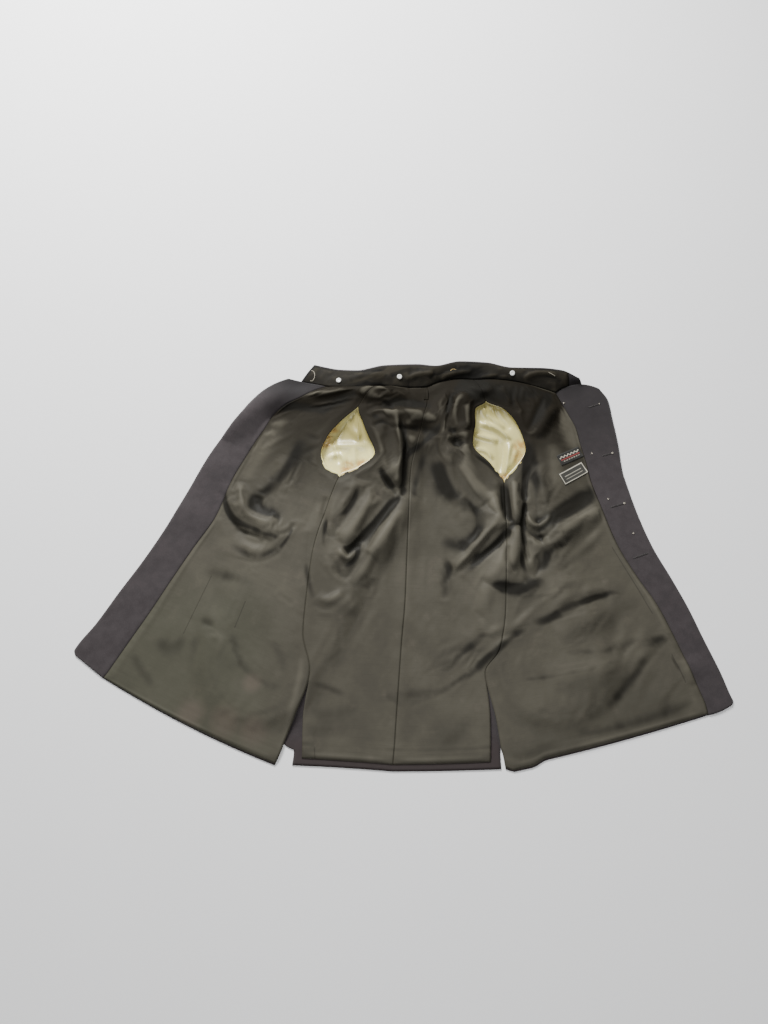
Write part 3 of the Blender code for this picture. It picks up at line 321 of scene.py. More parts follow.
# Painted highlights and shade of the linings, pale or dark where their folds turn, in the columns of
# CREASES with the height read as an amount, 1 palest and -1 darkest
PAINTED_FOLD_LIGHT = (
    # right front: pale roll along the facing, dark hollows round it
    (-200, 240, -233, 168, -302, 105, 14, 12, -0.85),
    (-310, 103, -274, 89, -230, 70, 15, 10, -0.8),
    (-349, 138, -333, 78, -272, 46, 8, 6, -1.0),
    (-292, 50, -260, 38, -233, 32, 7, 7, -0.75),
    (-326, 113, -305, 74, -229, 50, 6, 6, 0.3),
    (-230, 296, -274, 219, -327, 130, 18, 18, 0.6),
    (-338, 26, -283, -1, -225, 15, 12, 12, -0.5),
    (-236, 11, -221, 30, -208, 52, 4, 4, -0.8),
    (-166, 261, -191, 193, -203, 103, 22, 20, -0.4),
    # under the shoulder roll and over the right armhole
    (-261, 305, -212, 307, -143, 292, 11, 9, -0.9),
    (-167, 292, -127, 314, -90, 335, 13, 9, -0.8),
    (-294, 318, -204, 329, -106, 340, 6, 6, 0.4),
    (-98, 331, -57, 355, -8, 331, 7, 7, -0.95),
    # back beside the right armhole: flap and arched rolls
    (-69, 318, -45, 344, -8, 327, 4, 4, 0.4),
    (-65, 287, -45, 279, -25, 259, 6, 7, -0.6),
    (-41, 316, 4, 314, 69, 307, 12, 10, -0.9),
    (-25, 257, -19, 197, -9, 138, 13, 9, 0.1),
    (4, 274, 7, 208, 1, 126, 7, 8, -1.0),
    (-39, 180, -27, 155, -11, 132, 6, 5, -1.0),
    (4, 257, 36, 283, 79, 272, 6, 6, 0.6),
    (-3, 195, 48, 231, 85, 272, 7, 7, -1.0),
    (48, 208, 33, 155, 23, 93, 8, 8, -0.65),
    (72, 197, 79, 155, 90, 103, 17, 17, -0.5),
    # below the right armhole
    (-85, 143, -100, 95, -139, 68, 6, 6, -0.75),
    (-139, 68, -149, 48, -150, 11, 4, 6, -0.6),
    (-193, 85, -150, 105, -108, 122, 12, 12, 0.35),
    (-13, 120, -49, 68, -99, 13, 7, 5, -1.0),
    (9, 138, -9, 101, -37, 52, 8, 8, -0.8),
    (-51, 113, -68, 76, -107, 32, 8, 8, 0.5),
    (3, 89, -21, 22, -68, -52, 13, 13, 0.85),
    (-117, 13, -97, 13, -76, 32, 6, 6, -1.0),
    (-84, 22, -87, -5, -112, -31, 5, 6, -0.95),
    # bunch beside the left armhole and the folds that hang from it
    (129, 358, 108, 318, 83, 268, 6, 6, -1.0),
    (120, 331, 108, 300, 93, 261, 10, 9, 0.4),
    (78, 238, 105, 253, 137, 264, 4, 4, -0.75),
    (92, 195, 112, 221, 140, 225, 4, 4, -0.65),
    (111, 185, 147, 147, 185, 85, 18, 13, 0.75),
    (80, 193, 104, 122, 172, 74, 12, 16, -0.9),
    (77, 32, 128, 20, 178, 58, 18, 16, -0.75),
    (140, 199, 177, 180, 198, 151, 6, 5, -0.7),
    (204, 147, 207, 103, 217, 58, 10, 8, -1.0),
    (232, 76, 188, 22, 111, -52, 10, 7, -1.0),
    (249, 208, 246, 134, 234, 32, 5, 6, -1.0),
    (234, 42, 231, -1, 243, -42, 6, 6, -0.9),
    (227, 159, 227, 120, 222, 83, 6, 6, 0.3),
    (180, 52, 195, 56, 208, 72, 6, 6, 0.5),
    (190, 13, 170, -19, 129, -84, 12, 12, 0.5),
    (100, -9, 87, -48, 94, -88, 14, 14, -0.5),
    (210, 22, 209, -9, 196, -44, 8, 8, 0.4),
    # left front: dark neck, pale strip by the facing, dark fold under the labels
    (106, 344, 204, 333, 311, 340, 26, 20, -0.85),
    (305, 346, 293, 305, 269, 257, 9, 9, -1.0),
    (324, 311, 302, 283, 268, 231, 8, 8, -0.9),
    (330, 314, 340, 261, 357, 214, 17, 20, 1.0),
    (306, 229, 311, 176, 320, 118, 18, 22, 0.7),
    (254, 240, 267, 176, 292, 109, 12, 18, -0.9),
    (393, 138, 337, 97, 258, 40, 24, 20, -1.0),
    (399, 97, 350, 68, 292, 26, 9, 12, 0.8),
    (336, 42, 294, 11, 272, -44, 9, 10, -0.65),
    (249, 22, 248, -5, 255, -33, 9, 9, 0.6),
    (272, -44, 230, -68, 172, -58, 10, 12, -0.6),
    # lower right front: soft hollows, pale strip along the vent, dark line at the hem
    (-390, -33, -332, -42, -265, -72, 12, 14, -0.4),
    (-417, -119, -343, -142, -306, -192, 13, 12, -0.3),
    (-331, -157, -286, -230, -217, -259, 12, 10, -0.42),
    (-467, -142, -443, -196, -405, -194, 15, 15, -0.16),
    (-358, -142, -330, -175, -313, -218, 7, 7, 0.2),
    (-326, -88, -269, -72, -240, -111, 16, 16, 0.2),
    (-460, -157, -440, -177, -392, -157, 18, 18, -0.35),
    (-508, -188, -494, -218, -454, -267, 12, 12, -0.4),
    (-254, -161, -230, -194, -219, -241, 14, 14, -0.35),
    (-190, -194, -196, -259, -230, -382, 7, 7, 0.6),
    (-220, -19, -223, -48, -233, -88, 16, 16, 0.3),
    (-326, -267, -297, -245, -262, -267, 18, 18, 0.25),
    (-546, -243, -467, -291, -315, -351, 3, 3, -0.25),
    (-185, -15, -178, -52, -168, -92, 7, 7, -0.6),
    # lower left front: dark arc below the hanging folds and long soft hollows
    (169, -40, 220, -72, 285, -48, 13, 15, -0.65),
    (427, -76, 388, -80, 341, -101, 5, 8, -0.6),
    (380, -84, 317, -107, 254, -144, 9, 11, -0.55),
    (305, -115, 276, -131, 239, -127, 12, 12, -0.45),
    (241, -146, 198, -171, 137, -218, 8, 8, -0.6),
    (162, -150, 146, -165, 115, -192, 8, 8, -0.5),
    (515, -159, 457, -167, 391, -182, 9, 9, -0.3),
    (413, -179, 362, -190, 302, -188, 9, 9, -0.4),
    (415, -198, 368, -220, 311, -231, 6, 7, -0.45),
    (334, -226, 277, -237, 216, -243, 5, 6, -0.4),
    (385, -194, 335, -211, 278, -215, 6, 6, 0.3),
    (517, -161, 476, -175, 448, -215, 14, 10, -0.45),
    (459, -196, 435, -241, 395, -278, 13, 11, -0.42),
    (411, -265, 377, -293, 333, -320, 12, 12, -0.35),
    (523, -177, 488, -211, 464, -256, 8, 8, 0.25),
    (554, -278, 475, -308, 392, -330, 11, 14, -0.5),
    (418, -322, 369, -335, 317, -340, 11, 13, -0.4),
    (297, -355, 237, -377, 189, -391, 14, 14, -0.35),
    (264, -92, 284, -82, 304, -70, 7, 8, 0.7),
    (308, -131, 275, -154, 241, -173, 16, 16, 0.35),
    (413, 11, 480, -88, 516, -165, 6, 6, 0.45),
    (424, -1, 455, -58, 479, -99, 3, 3, -0.5),
    (510, -194, 522, -218, 534, -248, 3, 3, -0.7),
    (529, -194, 542, -226, 551, -252, 5, 5, 0.5),
    # collar lining
    (132, 411, 150, 362, 165, 322, 26, 26, -0.9),
    (-49, 391, 8, 391, 91, 386, 14, 14, 0.45),
    (-70, 358, 0, 355, 94, 362, 9, 9, 0.4),
    (-111, 355, -57, 371, -12, 398, 3, 3, 0.8),
    (-53, 362, -29, 380, 4, 393, 3, 3, 0.7),
    (-107, 366, -62, 378, -25, 395, 3, 3, -0.7),
    (-33, 362, -4, 380, 29, 393, 4, 4, -0.6),
    (41, 393, 58, 378, 95, 384, 3, 3, -0.6),
    (242, 366, 287, 351, 323, 342, 5, 5, 1.0),
    (223, 389, 267, 375, 312, 362, 8, 8, 0.4),
    # foot of the back: one long crease from the side seam, soft hollows by the vents
    (202, -167, 147, -218, 88, -250, 9, 10, -0.55),
    (103, -245, 50, -265, -31, -267, 13, 13, -0.4),
    (-33, -267, -12, -282, 10, -298, 8, 8, -0.3),
    (135, -171, 104, -203, 69, -228, 11, 11, -0.4),
    (173, -175, 122, -216, 58, -258, 7, 7, 0.3),
    (-178, -245, -144, -254, -100, -271, 8, 9, -0.45),
    (-175, -300, -124, -302, -70, -284, 16, 16, -0.35),
    (-189, -330, -144, -335, -92, -328, 18, 18, -0.35),
    (-154, -213, -130, -199, -109, -177, 7, 7, -0.35),
    (136, -297, 103, -340, 67, -366, 17, 17, -0.35),
    (72, -287, 44, -324, 15, -360, 18, 18, 0.15),
)

# Brownish worn patches of the satin, and tan stains of the ivory one: place and radius
WORN_PATCHES = (
    (-280, -248, 26),
    (-392, -304, 40),
    (-329, -319, 44),
    (-276, -335, 40),
)
IVORY_STAINS = (
    (-150, 236, 26),
    (-136, 262, 20),
    (-104, 178, 22),
    (-76, 186, 18),
    (243, 222, 26),
    (238, 200, 22),
    (205, 156, 18),
    (-112, 168, 14),
)
# Painted shade on the wool toward the neck: place, radius, softness and strength
PAINTED_WOOL_SHADES = (
    (350, 350, 260, 0.8, 0.6),
    (-205, 372, 130, 0.9, 0.97),
    (345, 372, 110, 0.9, 0.9),
)

# Where the lining stands up loosely under its creases: middle, reach and height
LOFT_COLUMNS = ("x", "y", "reach_x", "reach_y", "height")
LOFTS = (
    (-265, 120, 95, 120, 5),
    (-75, 60, 95, 105, 7),
    (5, 235, 70, 110, 6),
    (125, 260, 60, 100, 6),
    (205, 45, 75, 110, 8),
    (300, 60, 80, 80, 4),
    (285, 290, 60, 70, 5),
)
LINING_SLACK = 2.2      # how far the lining stands off elsewhere
SLACK_ROUND = 1.5       # softness with which a trough ends over the outer cloth
SLACK_LEAST = 0.3       # and how near it comes
SEWN_HEIGHT = 0.9       # height over the outer cloth where the lining is sewn flat
SEWN_REACH = 16         # distance from a sewn edge over which the slack grows
LEAST_HEIGHT = 0.5      # the same anywhere
HIGH_START = 26         # from this height the tallest folds are held down
HIGH_ROOM = 9
VALLEY_ROUND = 1.5      # radius of the bottom of a trough
VALLEY_WIDTH = 0.8      # width of a trough as a share of the table's

# The lining's settling on the outer cloth
SETTLE_CELL = 6.5       # grid of the lining while it settles
SETTLE_FRAMES = 18
SETTLE_RULES = {
    "quality": 6,
    "mass": 0.02,
    "tension_stiffness": 30,
    "compression_stiffness": 30,
    "shear_stiffness": 10,
    "bending_stiffness": 1.0,
}
SETTLE_GROWTH = 0.013
SETTLE_FULL_LOFT = 5
SETTLE_SEAM = 26        # distance from a seam over which the movement grows
SETTLE_ARMHOLE = 7      # distance from an armhole within which the lining is held
# Painted light of the folds: paler where the lining stands over its softened form and darker where it
# sinks, and how strongly
RELIEF_TIMES = 40       # rounds of softening that a fold's depth is measured against
RELIEF_DEPTH = 3.5
PAINTED_LIGHT_OF_RELIEF = 0.7

# Sides of the parts of the body lining that end at a seam. There the lining dips, but
# only up to a y of -150 at the side seams and of -40 at the centre seam.
SIDE_SEAMS = {"right_front": "e", "left_front": "w", "back_right": "w", "back_left": "e"}
CENTRE_SEAMS = {"back_right": "e", "back_left": "w"}
SIDE_DIP_TOP = -150
CENTRE_DIP_TOP = -40
DIP_FADE = 100
SEAM_DIP = 0.4
SEAM_DIP_WIDTH = 1.2

# Pressed rolls above the lining's hem: distance from the hem, width and height, and
# how much of them shows on the back and on the fronts
HEM_ROLLS = ((6, 5, 0.9), (24, 3, -0.9), (31, 5, 0.9))
BACK_ROLLS = 0.7
FRONT_ROLLS = 0.2
HEM_TURN = 0.4          # how far the hem itself turns down, and over what width
HEM_TURN_WIDTH = 1.5
PUCKER = 0.45           # puckers along the facings' seams
PUCKER_REACH = 10
LINING_EDGE = 1.6       # depth of the lining's border

# Facings: a loose wave, and the turn down of the free edge and of the seam
FACING_WAVE = 0.5
FACING_LEAST = 1.0
FREE_TURN = 1.1
FREE_TURN_WIDTH = 1.4
SEAM_TURN = 0.9
SEAM_TURN_WIDTH = 1.6
FACING_EDGE = 1.4

# How far each part of the body lining hangs over its armhole's edge, and how far it
# rises there
OVERHANGS = {
    "right_front": (2, 1.0),
    "back_right": (4, 3.5),
    "back_left": (2, 3.5),
    "left_front": (4, 1.5),
}
OVERHANG_END = 0.62     # share of the armhole's height from where less hangs over
OVERHANG_WIDTH = 18     # distance from the edge over which the push and the rise fade
OVERHANG_RISE_WIDTH = 16
OVERHANG_ROLL = 2.5     # radius to which the edge itself rolls down

# Small folds of the ivory lining inside the armholes, in the columns of CREASES
SLEEVE_CREASES = (
    (-155, 232, -143, 240, -132, 244, 4, 4, 2.4),
    (-148, 248, -138, 254, -126, 258, 4, 4, 2.2),
    (-138, 264, -128, 270, -118, 276, 4, 4, 2.2),
    (-124, 282, -114, 288, -102, 296, 4, 4, 2.0),
    (-136, 224, -122, 256, -96, 290, 3, 3, -1.6),
    (-150, 225, -110, 224, -62, 226, 9, 9, 3),
    (-147, 196, -120, 206, -108, 178, 5, 6, 3),
    (-120, 300, -100, 262, -80, 240, 8, 7, 2),
    (-92, 300, -86, 262, -84, 232, 6, 6, 2),
    (-140, 240, -128, 214, -124, 186, 5, 5, -2.4),
    (-96, 220, -92, 200, -96, 182, 7, 7, 2),
    (158, 272, 192, 262, 222, 236, 5, 7, 5),
    (222, 236, 214, 196, 206, 160, 6, 7, 5),
    (148, 250, 168, 244, 196, 236, 5, 6, 3.5),
    (196, 236, 203, 205, 198, 168, 5, 6, -4),
    (170, 305, 184, 282, 212, 262, 6, 6, 3.5),
    (190, 306, 204, 284, 224, 262, 5, 6, -3),
    (144, 218, 170, 214, 184, 196, 5, 5, 3),
    (232, 222, 226, 198, 214, 172, 6, 5, 3),
)

# Points round the sleeves' rings, and how far below the outer cloth they start
WOOL_RING = 80
WOOL_INSET = 1.2
SATIN_RING = 180
SATIN_INSET = 1.6

# The ivory lining's gathers, in waves round the armhole, and its fullness inside
GATHERS = (17, 23, 31, 38, 46)
GATHER_HEIGHT = 1.3
GATHER_ROWS = 7.0       # rows of the grid over which they fade
FULLNESS = 2.5
FULLNESS_ROWS = 6.0
CREASE_TIMES = 1.8

# The ivory lining's felled rim: steps away from the armhole's edge, and rises
SATIN_RIM = (
    (3.0, -2.3),
    (3.2, -1.8),
    (2.4, -1.4),
    (1.0, -1.2),
    (-0.6, -1.3),
    (-1.8, -1.8),
    (-2.8, -2.8),
)

# Upper edge of the collar, at shares of its length from the wearer's right end
COLLAR_COLUMNS = ("along", "top_x", "top_y", "top_z")
COLLAR = (
    (0.00, -176, 402, 3),
    (0.09, -124, 390, 6),
    (0.17, -88, 387, 10),
    (0.28, -30, 399, 9),
    (0.40, 36, 402, 8),
    (0.47, 72, 397, 12),
    (0.57, 124, 408, 9),
    (0.66, 178, 405, 9),
    (0.75, 228, 392, 14),
    (0.86, 290, 391, 14),
    (0.93, 330, 387, 12),
    (1.00, 366, 370, 11),
)
COLLAR_START = -203     # x of the neck line where the collar begins
COLLAR_END = 374
COLLAR_LINING_END = 0.955
COLLAR_BULGE = 3.0
COLLAR_WALL = 1.8
COLLAR_LINING_LIFT = 2.9
COLLAR_COLS = 200       # its grid, and its flat size
COLLAR_ROWS = 18
COLLAR_LENGTH = 570
COLLAR_TALL = 45
# Creases of the collar lining, in the columns of CREASES
COLLAR_CREASES = (
    (-20, 372, 14, 392, 40, 384, 5, 5, -3.4),
    (10, 366, 44, 380, 76, 374, 5, 6, 3.4),
    (60, 368, 86, 388, 118, 396, 5, 5, -3.6),
    (84, 366, 108, 380, 150, 384, 6, 5, 3.2),
    (-100, 362, -70, 376, -30, 374, 7, 7, 2.2),
    (-80, 380, -40, 388, -4, 384, 6, 6, -2.2),
    (-150, 372, -120, 380, -92, 376, 5, 5, -1.8),
    (140, 372, 168, 388, 200, 392, 5, 5, -2.4),
    (150, 362, 182, 374, 222, 372, 5, 5, 2.4),
    (190, 362, 214, 380, 262, 378, 7, 6, -2.8),
    (250, 366, 284, 380, 322, 374, 5, 5, 2.8),
    (262, 356, 296, 368, 330, 362, 4, 4, -3),
)

# Places of the studs, and their section from rim to middle: radius as a share, height
STUDS = ((-125, 362), (-1, 372), (229, 378))
STUD_PROFILE = (
    (0.96, -0.6),
    (1, 0.3),
    (0.98, 0.9),
    (0.9, 1.5),
    (0.76, 1.9),
    (0.6, 1.95),
    (0.46, 1.7),
    (0.3, 1.45),
    (0.12, 1.4),
)
STUD_MIDDLE = (0.02, 1.4)

LABEL_COLUMNS = ("name", "x", "y", "width", "height", "turn")
LABELS = (
    ("label_upper", 339, 202, 52, 23, 27),
    ("label_lower", 344, 166, 58, 26, 31),
)

HANGER_PLACE = (53, 336)
HANGER_LENGTH = 24
HANGER_WIDTH = 9

# Buttonholes on the wearer's left front: x and y of the inner end and of the outer
# end, and the radius of the pale eye that shows there
BUTTONHOLES = (
    (383, 309, 407, 317, 0.9),
    (405, 205, 427, 211, 1.4),
    (414, 97, 444, 106, 1.4),
    (452, -6, 481, 4, 0),
)
BUTTONHOLE_WAVES = 44   # stitches along each side of one, as waves of the thread
# Thread ends beside them, near the facing's seam
THREAD_ENDS = ((333, 318), (384, 210), (411, 114), (456, 44))

# Pale oval at the collar's right end, open on its left, and its two radii
OVAL_PLACE = (-181, 376)
OVAL_RADII = (6.5, 11.5)
OVAL_TURN = (-0.62, 0.55)
# Short pale bar near the collar's left end, from its start
BAR_START = (303, 379)

# Sewn lines of the lining that lie inside a panel, from point to point
DARTS = (
    (-367, -42, -391, -98),
    (-391, -98, -415, -154),
    (-298, -94, -316, -144),
    (413, 15, 448, -50),
    (448, -50, 482, -115),
    (513, -194, 534, -246),
    (-161, -366, -160, -388),
)

FLOOR_SIZE = 12000
FLOOR_HEIGHT = -0.2

# Name, place and target in metres, size and energy of each light
LIGHTS = (
    ("key_light", (-0.8, 2.2, 1.45), (0.0, 0.0, 0.0), 1.0, 168),
    ("top_light", (0.1, -0.7, 3.0), (0.0, -0.2, 0.0), 1.4, 44),
)
CAMERA_PLACE = (-32.8, -456.1, 1900)
CAMERA_TILT = 74        # degrees below the horizon
LENS = 35.16


def column(table, columns, name):
    """One named column of a table, as an array."""
    return np.array([row[columns.index(name)] for row in table], float)


def named(table, columns):
    """Rows of a table, each as a dictionary by the names of its columns."""
    return [dict(zip(columns, row)) for row in table]


def smooth(stations, values, at):
    """Monotone cubic: Hermite curve whose slopes are harmonic means of the steps."""
    stations = np.asarray(stations, float)
    values = np.asarray(values, float)
    step = np.diff(stations)
    slope = np.diff(values) / step
    tangent = np.zeros_like(values)
    before = slope[:-1]
    after = slope[1:]
    same_way = before * after > 0
    weight_a = 2 * step[1:] + step[:-1]
    weight_b = step[1:] + 2 * step[:-1]
    safe_before = np.where(same_way, before, 1.0)
    safe_after = np.where(same_way, after, 1.0)
    mean = (weight_a + weight_b) / (weight_a / safe_before + weight_b / safe_after)
    tangent[1:-1] = np.where(same_way, mean, 0.0)
    tangent[0] = slope[0]
    tangent[-1] = slope[-1]
    place = np.clip(np.searchsorted(stations, at, side="right") - 1, 0, len(step) - 1)
    width = step[place]
    t = (np.asarray(at, float) - stations[place]) / width
    rise = values[place + 1] - values[place]
    blend = t * t * (3 - 2 * t)
    start_bend = width * tangent[place] * t * (1 - t) ** 2
    end_bend = width * tangent[place + 1] * t * t * (t - 1)
    return values[place] + rise * blend + start_bend + end_bend


def smoothstep(value):
    """Ease from 0 to 1: t squared times three less two t."""
    t = np.clip(value, 0.0, 1.0)
    return t * t * (3 - 2 * t)


def bell(distance, width):
    """Bell section: the exponential of minus the square of a distance in widths."""
    return np.exp(-(distance / width) ** 2)


def run_along(points):
    """Length run along a line to each of its points."""
    steps = np.linalg.norm(np.diff(points, axis=0), axis=1)
    return np.concatenate([[0], np.cumsum(steps)])


def at_run(points, run, at):
    """Points of a line at given lengths run along it."""
    return np.stack([np.interp(at, run, points[:, i]) for i in (0, 1)], axis=-1)


def level(name, down):
    """A column of LEVELS, read off at shares of the length."""
    return smooth(column(LEVELS, LEVEL_COLUMNS, "down"), column(LEVELS, LEVEL_COLUMNS, name), down)


def line_point(name, down, side=""):
    """Point of a body line at a share of its length, side "front" or "back"."""
    x = level(name + "_x", down)
    y = level(name + "_y", down)
    if side:
        wearer_side = name.split("_")[0]
        outward = -1 if wearer_side == "right" else 1
        toward = outward if side == "front" else -outward
        x = x + toward * (level(wearer_side + "_gap_" + side, down) + SEAM_LINE / 2)
    return np.stack([x, y], axis=-1)


def vent_share(side, down):
    """Share of a back strip that its lining leaves bare, from the side seam."""
    inward = 1 if side == "right" else -1
    stations = column(VENT_STRIPS, VENT_COLUMNS, "down")
    bare = np.interp(down, stations, column(VENT_STRIPS, VENT_COLUMNS, side))
    edge = line_point(side + "_seam", down, "back")[:, 0]
    middle = line_point("centre", down)[:, 0]
    border = line_point(side + "_seam", down)[:, 0] + inward * bare
    return np.where(bare > 0, (border - edge) / (middle - edge), 0)


def hem_wave(across, down):
    """Drop of the left front's hem beside its vent."""
    start = smoothstep(across / HEM_WAVE_RISE)
    end = smoothstep((across - HEM_WAVE_END) / HEM_WAVE_FALL)
    return HEM_WAVE * start * (1 - end) * smoothstep((down - 1) / HEM_WAVE_LENGTH + 1)


def strip(name, down, across):
    """Plan points of a strip of the cloth: straight rows, bowed at neck and hem."""
    start, end, _ = STRIPS[name]
    first = line_point(start[0], down, start[1])[:, None, :]
    last = line_point(end[0], down, end[1])[:, None, :]
    points = first + (last - first) * across[..., None]
    top, hem = BOWS[name]
    hump = 4 * across * (1 - across)
    at_top = smoothstep(1 - down / BOW_REACH)
    at_hem = smoothstep((down - (1 - BOW_REACH)) / BOW_REACH)
    points[..., 1] += (at_top[:, None] * top + at_hem[:, None] * hem) * hump
    if name == "left_front":
        points[..., 1] -= hem_wave(across, down[:, None])
    return points


def rows_between(start, end, cell):
    """Shares of the length at even steps, with the armhole's ends among them."""
    stops = [start] + [s for s in (ARMHOLE_TOP, ARMHOLE_BOTTOM) if start < s < end] + [end]
    parts = []
    for first, last in zip(stops, stops[1:]):
        count = max(1, round((last - first) * BODY_LENGTH / cell))
        parts.append(np.linspace(first, last, count, endpoint=False))
    return np.concatenate(parts + [[end]])


def strip_grid(name, down, cell, as_lining):
    """Plan grid of one strip, and its cloth coordinates in millimetres."""
    share = np.linspace(0, 1, round(STRIPS[name][2] / cell) + 1)
    across = np.tile(share, (len(down), 1))
    if as_lining and name == "back_right":
        bare = vent_share("right", down)[:, None]
        across = bare + (1 - bare) * share
    elif as_lining and name == "back_left":
        bare = vent_share("left", down)[:, None]
        across = (1 - bare) * share
    plan = strip(name, down, across)
    u = across * np.linalg.norm(plan[:, -1] - plan[:, 0], axis=-1)[:, None]
    v = np.broadcast_to((down * BODY_LENGTH)[:, None], u.shape)
    return plan, np.stack([u, v], axis=-1)


def curve_through(start, middle, end, t):
    """Parabola through three points: the quadratic whose middle lies on the second."""
    start, middle, end = (np.asarray(p, float) for p in (start, middle, end))
    handle = 2 * middle - (start + end) / 2
    t = np.asarray(t, float)[:, None]
    return (1 - t) ** 2 * start + 2 * t * (1 - t) * handle + t ** 2 * end


def nearest_on_path(path, plan):
    """Distance to a polyline, the share along it, and +1 on its left or -1 on its right."""
    best = np.full(plan.shape[:-1], np.inf)
    share = np.zeros(plan.shape[:-1])
    hand = np.ones(plan.shape[:-1])
    count = len(path) - 1
    for i in range(count):
        leg = path[i + 1] - path[i]
        offset = plan - path[i]
        t = np.clip((offset @ leg) / (leg @ leg), 0, 1)
        distance = np.linalg.norm(offset - t[..., None] * leg, axis=-1)
        closer = distance < best
        turn = np.sign(leg[0] * offset[..., 1] - leg[1] * offset[..., 0])
        best = np.where(closer, distance, best)
        share = np.where(closer, (i + t) / count, share)
        hand = np.where(closer, turn, hand)
    return best, share, hand


def sleeve_axis(sleeve, t):
    """Points along the middle line of a sleeve."""
    places = ((sleeve[end + "_x"], sleeve[end + "_y"]) for end in ("head", "half", "cuff"))
    return curve_through(*places, t)


def sleeve_half_width(t):
    """Half the width of a flat sleeve at a share of its length."""
    return (SLEEVE_BICEP + (SLEEVE_CUFF - SLEEVE_BICEP) * np.clip(t, 0, 1)) / 2


def button_places():
    """Centres of the buttons, inside the wearer's right front edge."""
    edge = line_point("right_edge", np.linspace(0, 1, 400))
    run = run_along(edge)
    places = []
    for index in range(4):
        at = BUTTON_FIRST + index * BUTTON_SPACING
        point = at_run(edge, run, at)
        along = at_run(edge, run, at + 5) - point
        along = along / np.linalg.norm(along)
        places.append(point + BUTTON_INSET * np.array([-along[1], along[0]]))
    return places


def armhole_outline(side):
    """Closed plan outline of one armhole."""
    down = np.linspace(ARMHOLE_TOP, ARMHOLE_BOTTOM, 24)
    front = line_point(side + "_seam", down, "front")
    back = line_point(side + "_seam", down, "back")
    return np.concatenate([front, back[::-1], front[:1]])


def armhole_distance(plan):
    """Distance to the nearer armhole's outline."""
    right, left = (nearest_on_path(armhole_outline(side), plan)[0] for side in ("right", "left"))
    return np.minimum(right, left)


def crease_path(crease):
    """Points along the curve of a fold or a crease."""
    places = ((crease["x" + end], crease["y" + end]) for end in "123")
    return curve_through(*places, np.linspace(0, 1, 11))


def faded_ends(share):
    """1 along a curve, and 0 at its ends: one less the fourth power."""
    return 1 - (2 * share - 1) ** 4


def cloth_height(plan):
    """Height of the body cloth's underside: mounds over the sleeves, bell-shaped
    bumps over the buttons and folds with a bell section, pressed flat near zero."""
    total = np.zeros(plan.shape[:-1])
    least = np.zeros(plan.shape[:-1])
    calm = np.ones(plan.shape[:-1])
    for sleeve in named(SLEEVES, SLEEVE_COLUMNS):
        distance, share, _ = nearest_on_path(sleeve_axis(sleeve, np.linspace(0, 1, 16)), plan)
        outside = distance - sleeve_half_width(share)
        mound = MOUND_HEIGHT + MOUND_HEAD * smoothstep(1 - share / MOUND_HEAD_END)
        total = np.maximum(total, mound * smoothstep(1 - (outside - MOUND_START) / MOUND_SLOPE))
        clearance = SLEEVE_CLEARANCE * smoothstep(1 - (outside - CLEARANCE_START) / CLEARANCE_SLOPE)
        least = np.maximum(least, clearance)
        distance, _, _ = nearest_on_path(armhole_outline(sleeve["name"]), plan)
        calm = calm * (CALM_SHARE + (1 - CALM_SHARE) * smoothstep((distance - CALM_START) / CALM_WIDTH))
    for place in button_places():
        total = total + BUTTON_BUMP * bell(np.linalg.norm(plan - place, axis=-1), BUTTON_BUMP_WIDTH)
    for fold in named(FOLDS, FOLD_COLUMNS):
        distance, share, _ = nearest_on_path(crease_path(fold), plan)
        total = total + calm * fold["height"] * faded_ends(share) * bell(distance, fold["half_width"])
    return np.maximum(np.maximum(total - PRESSED, 0), least)


def crease_field(plan, table, soft=False):
    """Sum of creases: a ridge has a bell section, and a trough a sharper one, the
    exponential of its distance, unless it is soft. Both may be wider on one side of
    their curve."""
    total = np.zeros(plan.shape[:-1])
    for crease in named(table, CREASE_COLUMNS):
        path = crease_path(crease)
        reach = 3 * max(crease["left"], crease["right"])
        low = path.min(axis=0) - reach
        high = path.max(axis=0) + reach
        near = np.all((plan > low) & (plan < high), axis=-1)
        if not near.any():
            continue
        distance, share, hand = nearest_on_path(path, plan[near])
        width = np.where(hand > 0, crease["left"], crease["right"])
        if crease["height"] > 0 or soft:
            section = bell(distance, width)
        else:
            section = np.exp((VALLEY_ROUND - np.hypot(distance, VALLEY_ROUND)) / (VALLEY_WIDTH * width))
        total[near] += crease["height"] * faded_ends(share) * section
    return total


def ripple(plan, seed, shortest, longest, count):
    """Uneven ripples about one high: sines of random directions, lengths and phases."""
    random = np.random.default_rng(seed)
    total = np.zeros(plan.shape[:-1])
    for _ in range(count):
        turn = random.uniform(0, math.pi)
        length = random.uniform(shortest, longest)
        phase = random.uniform(0, 2 * math.pi)
        along = plan[..., 0] * math.cos(turn) + plan[..., 1] * math.sin(turn)
        total += np.sin(2 * math.pi * along / length + phase)
    return total / math.sqrt(count)


def lifted(plan, height):
    """Plan points with a height each."""
    return np.concatenate([plan, np.asarray(height)[..., None]], axis=-1)


def skirted(points, uv, drop, spread=0.4):
    """Grid with one more row or column on every side, straight below its border."""
    for axis in (0, 1):
        for edge, inner in ((0, 1), (-1, -2)):
            border = np.take(points, [edge], axis)
            away = border - np.take(points, [inner], axis)
            length = np.linalg.norm(away[..., :2], axis=-1, keepdims=True)
            border[..., :2] += away[..., :2] / np.maximum(length, 1e-6) * spread
            border[..., 2] -= drop
            border_uv = np.take(uv, [edge], axis)
            order = 1 if edge == 0 else -1
            points = np.concatenate([border, points][::order], axis)
            uv = np.concatenate([border_uv, uv][::order], axis)
    return points, uv


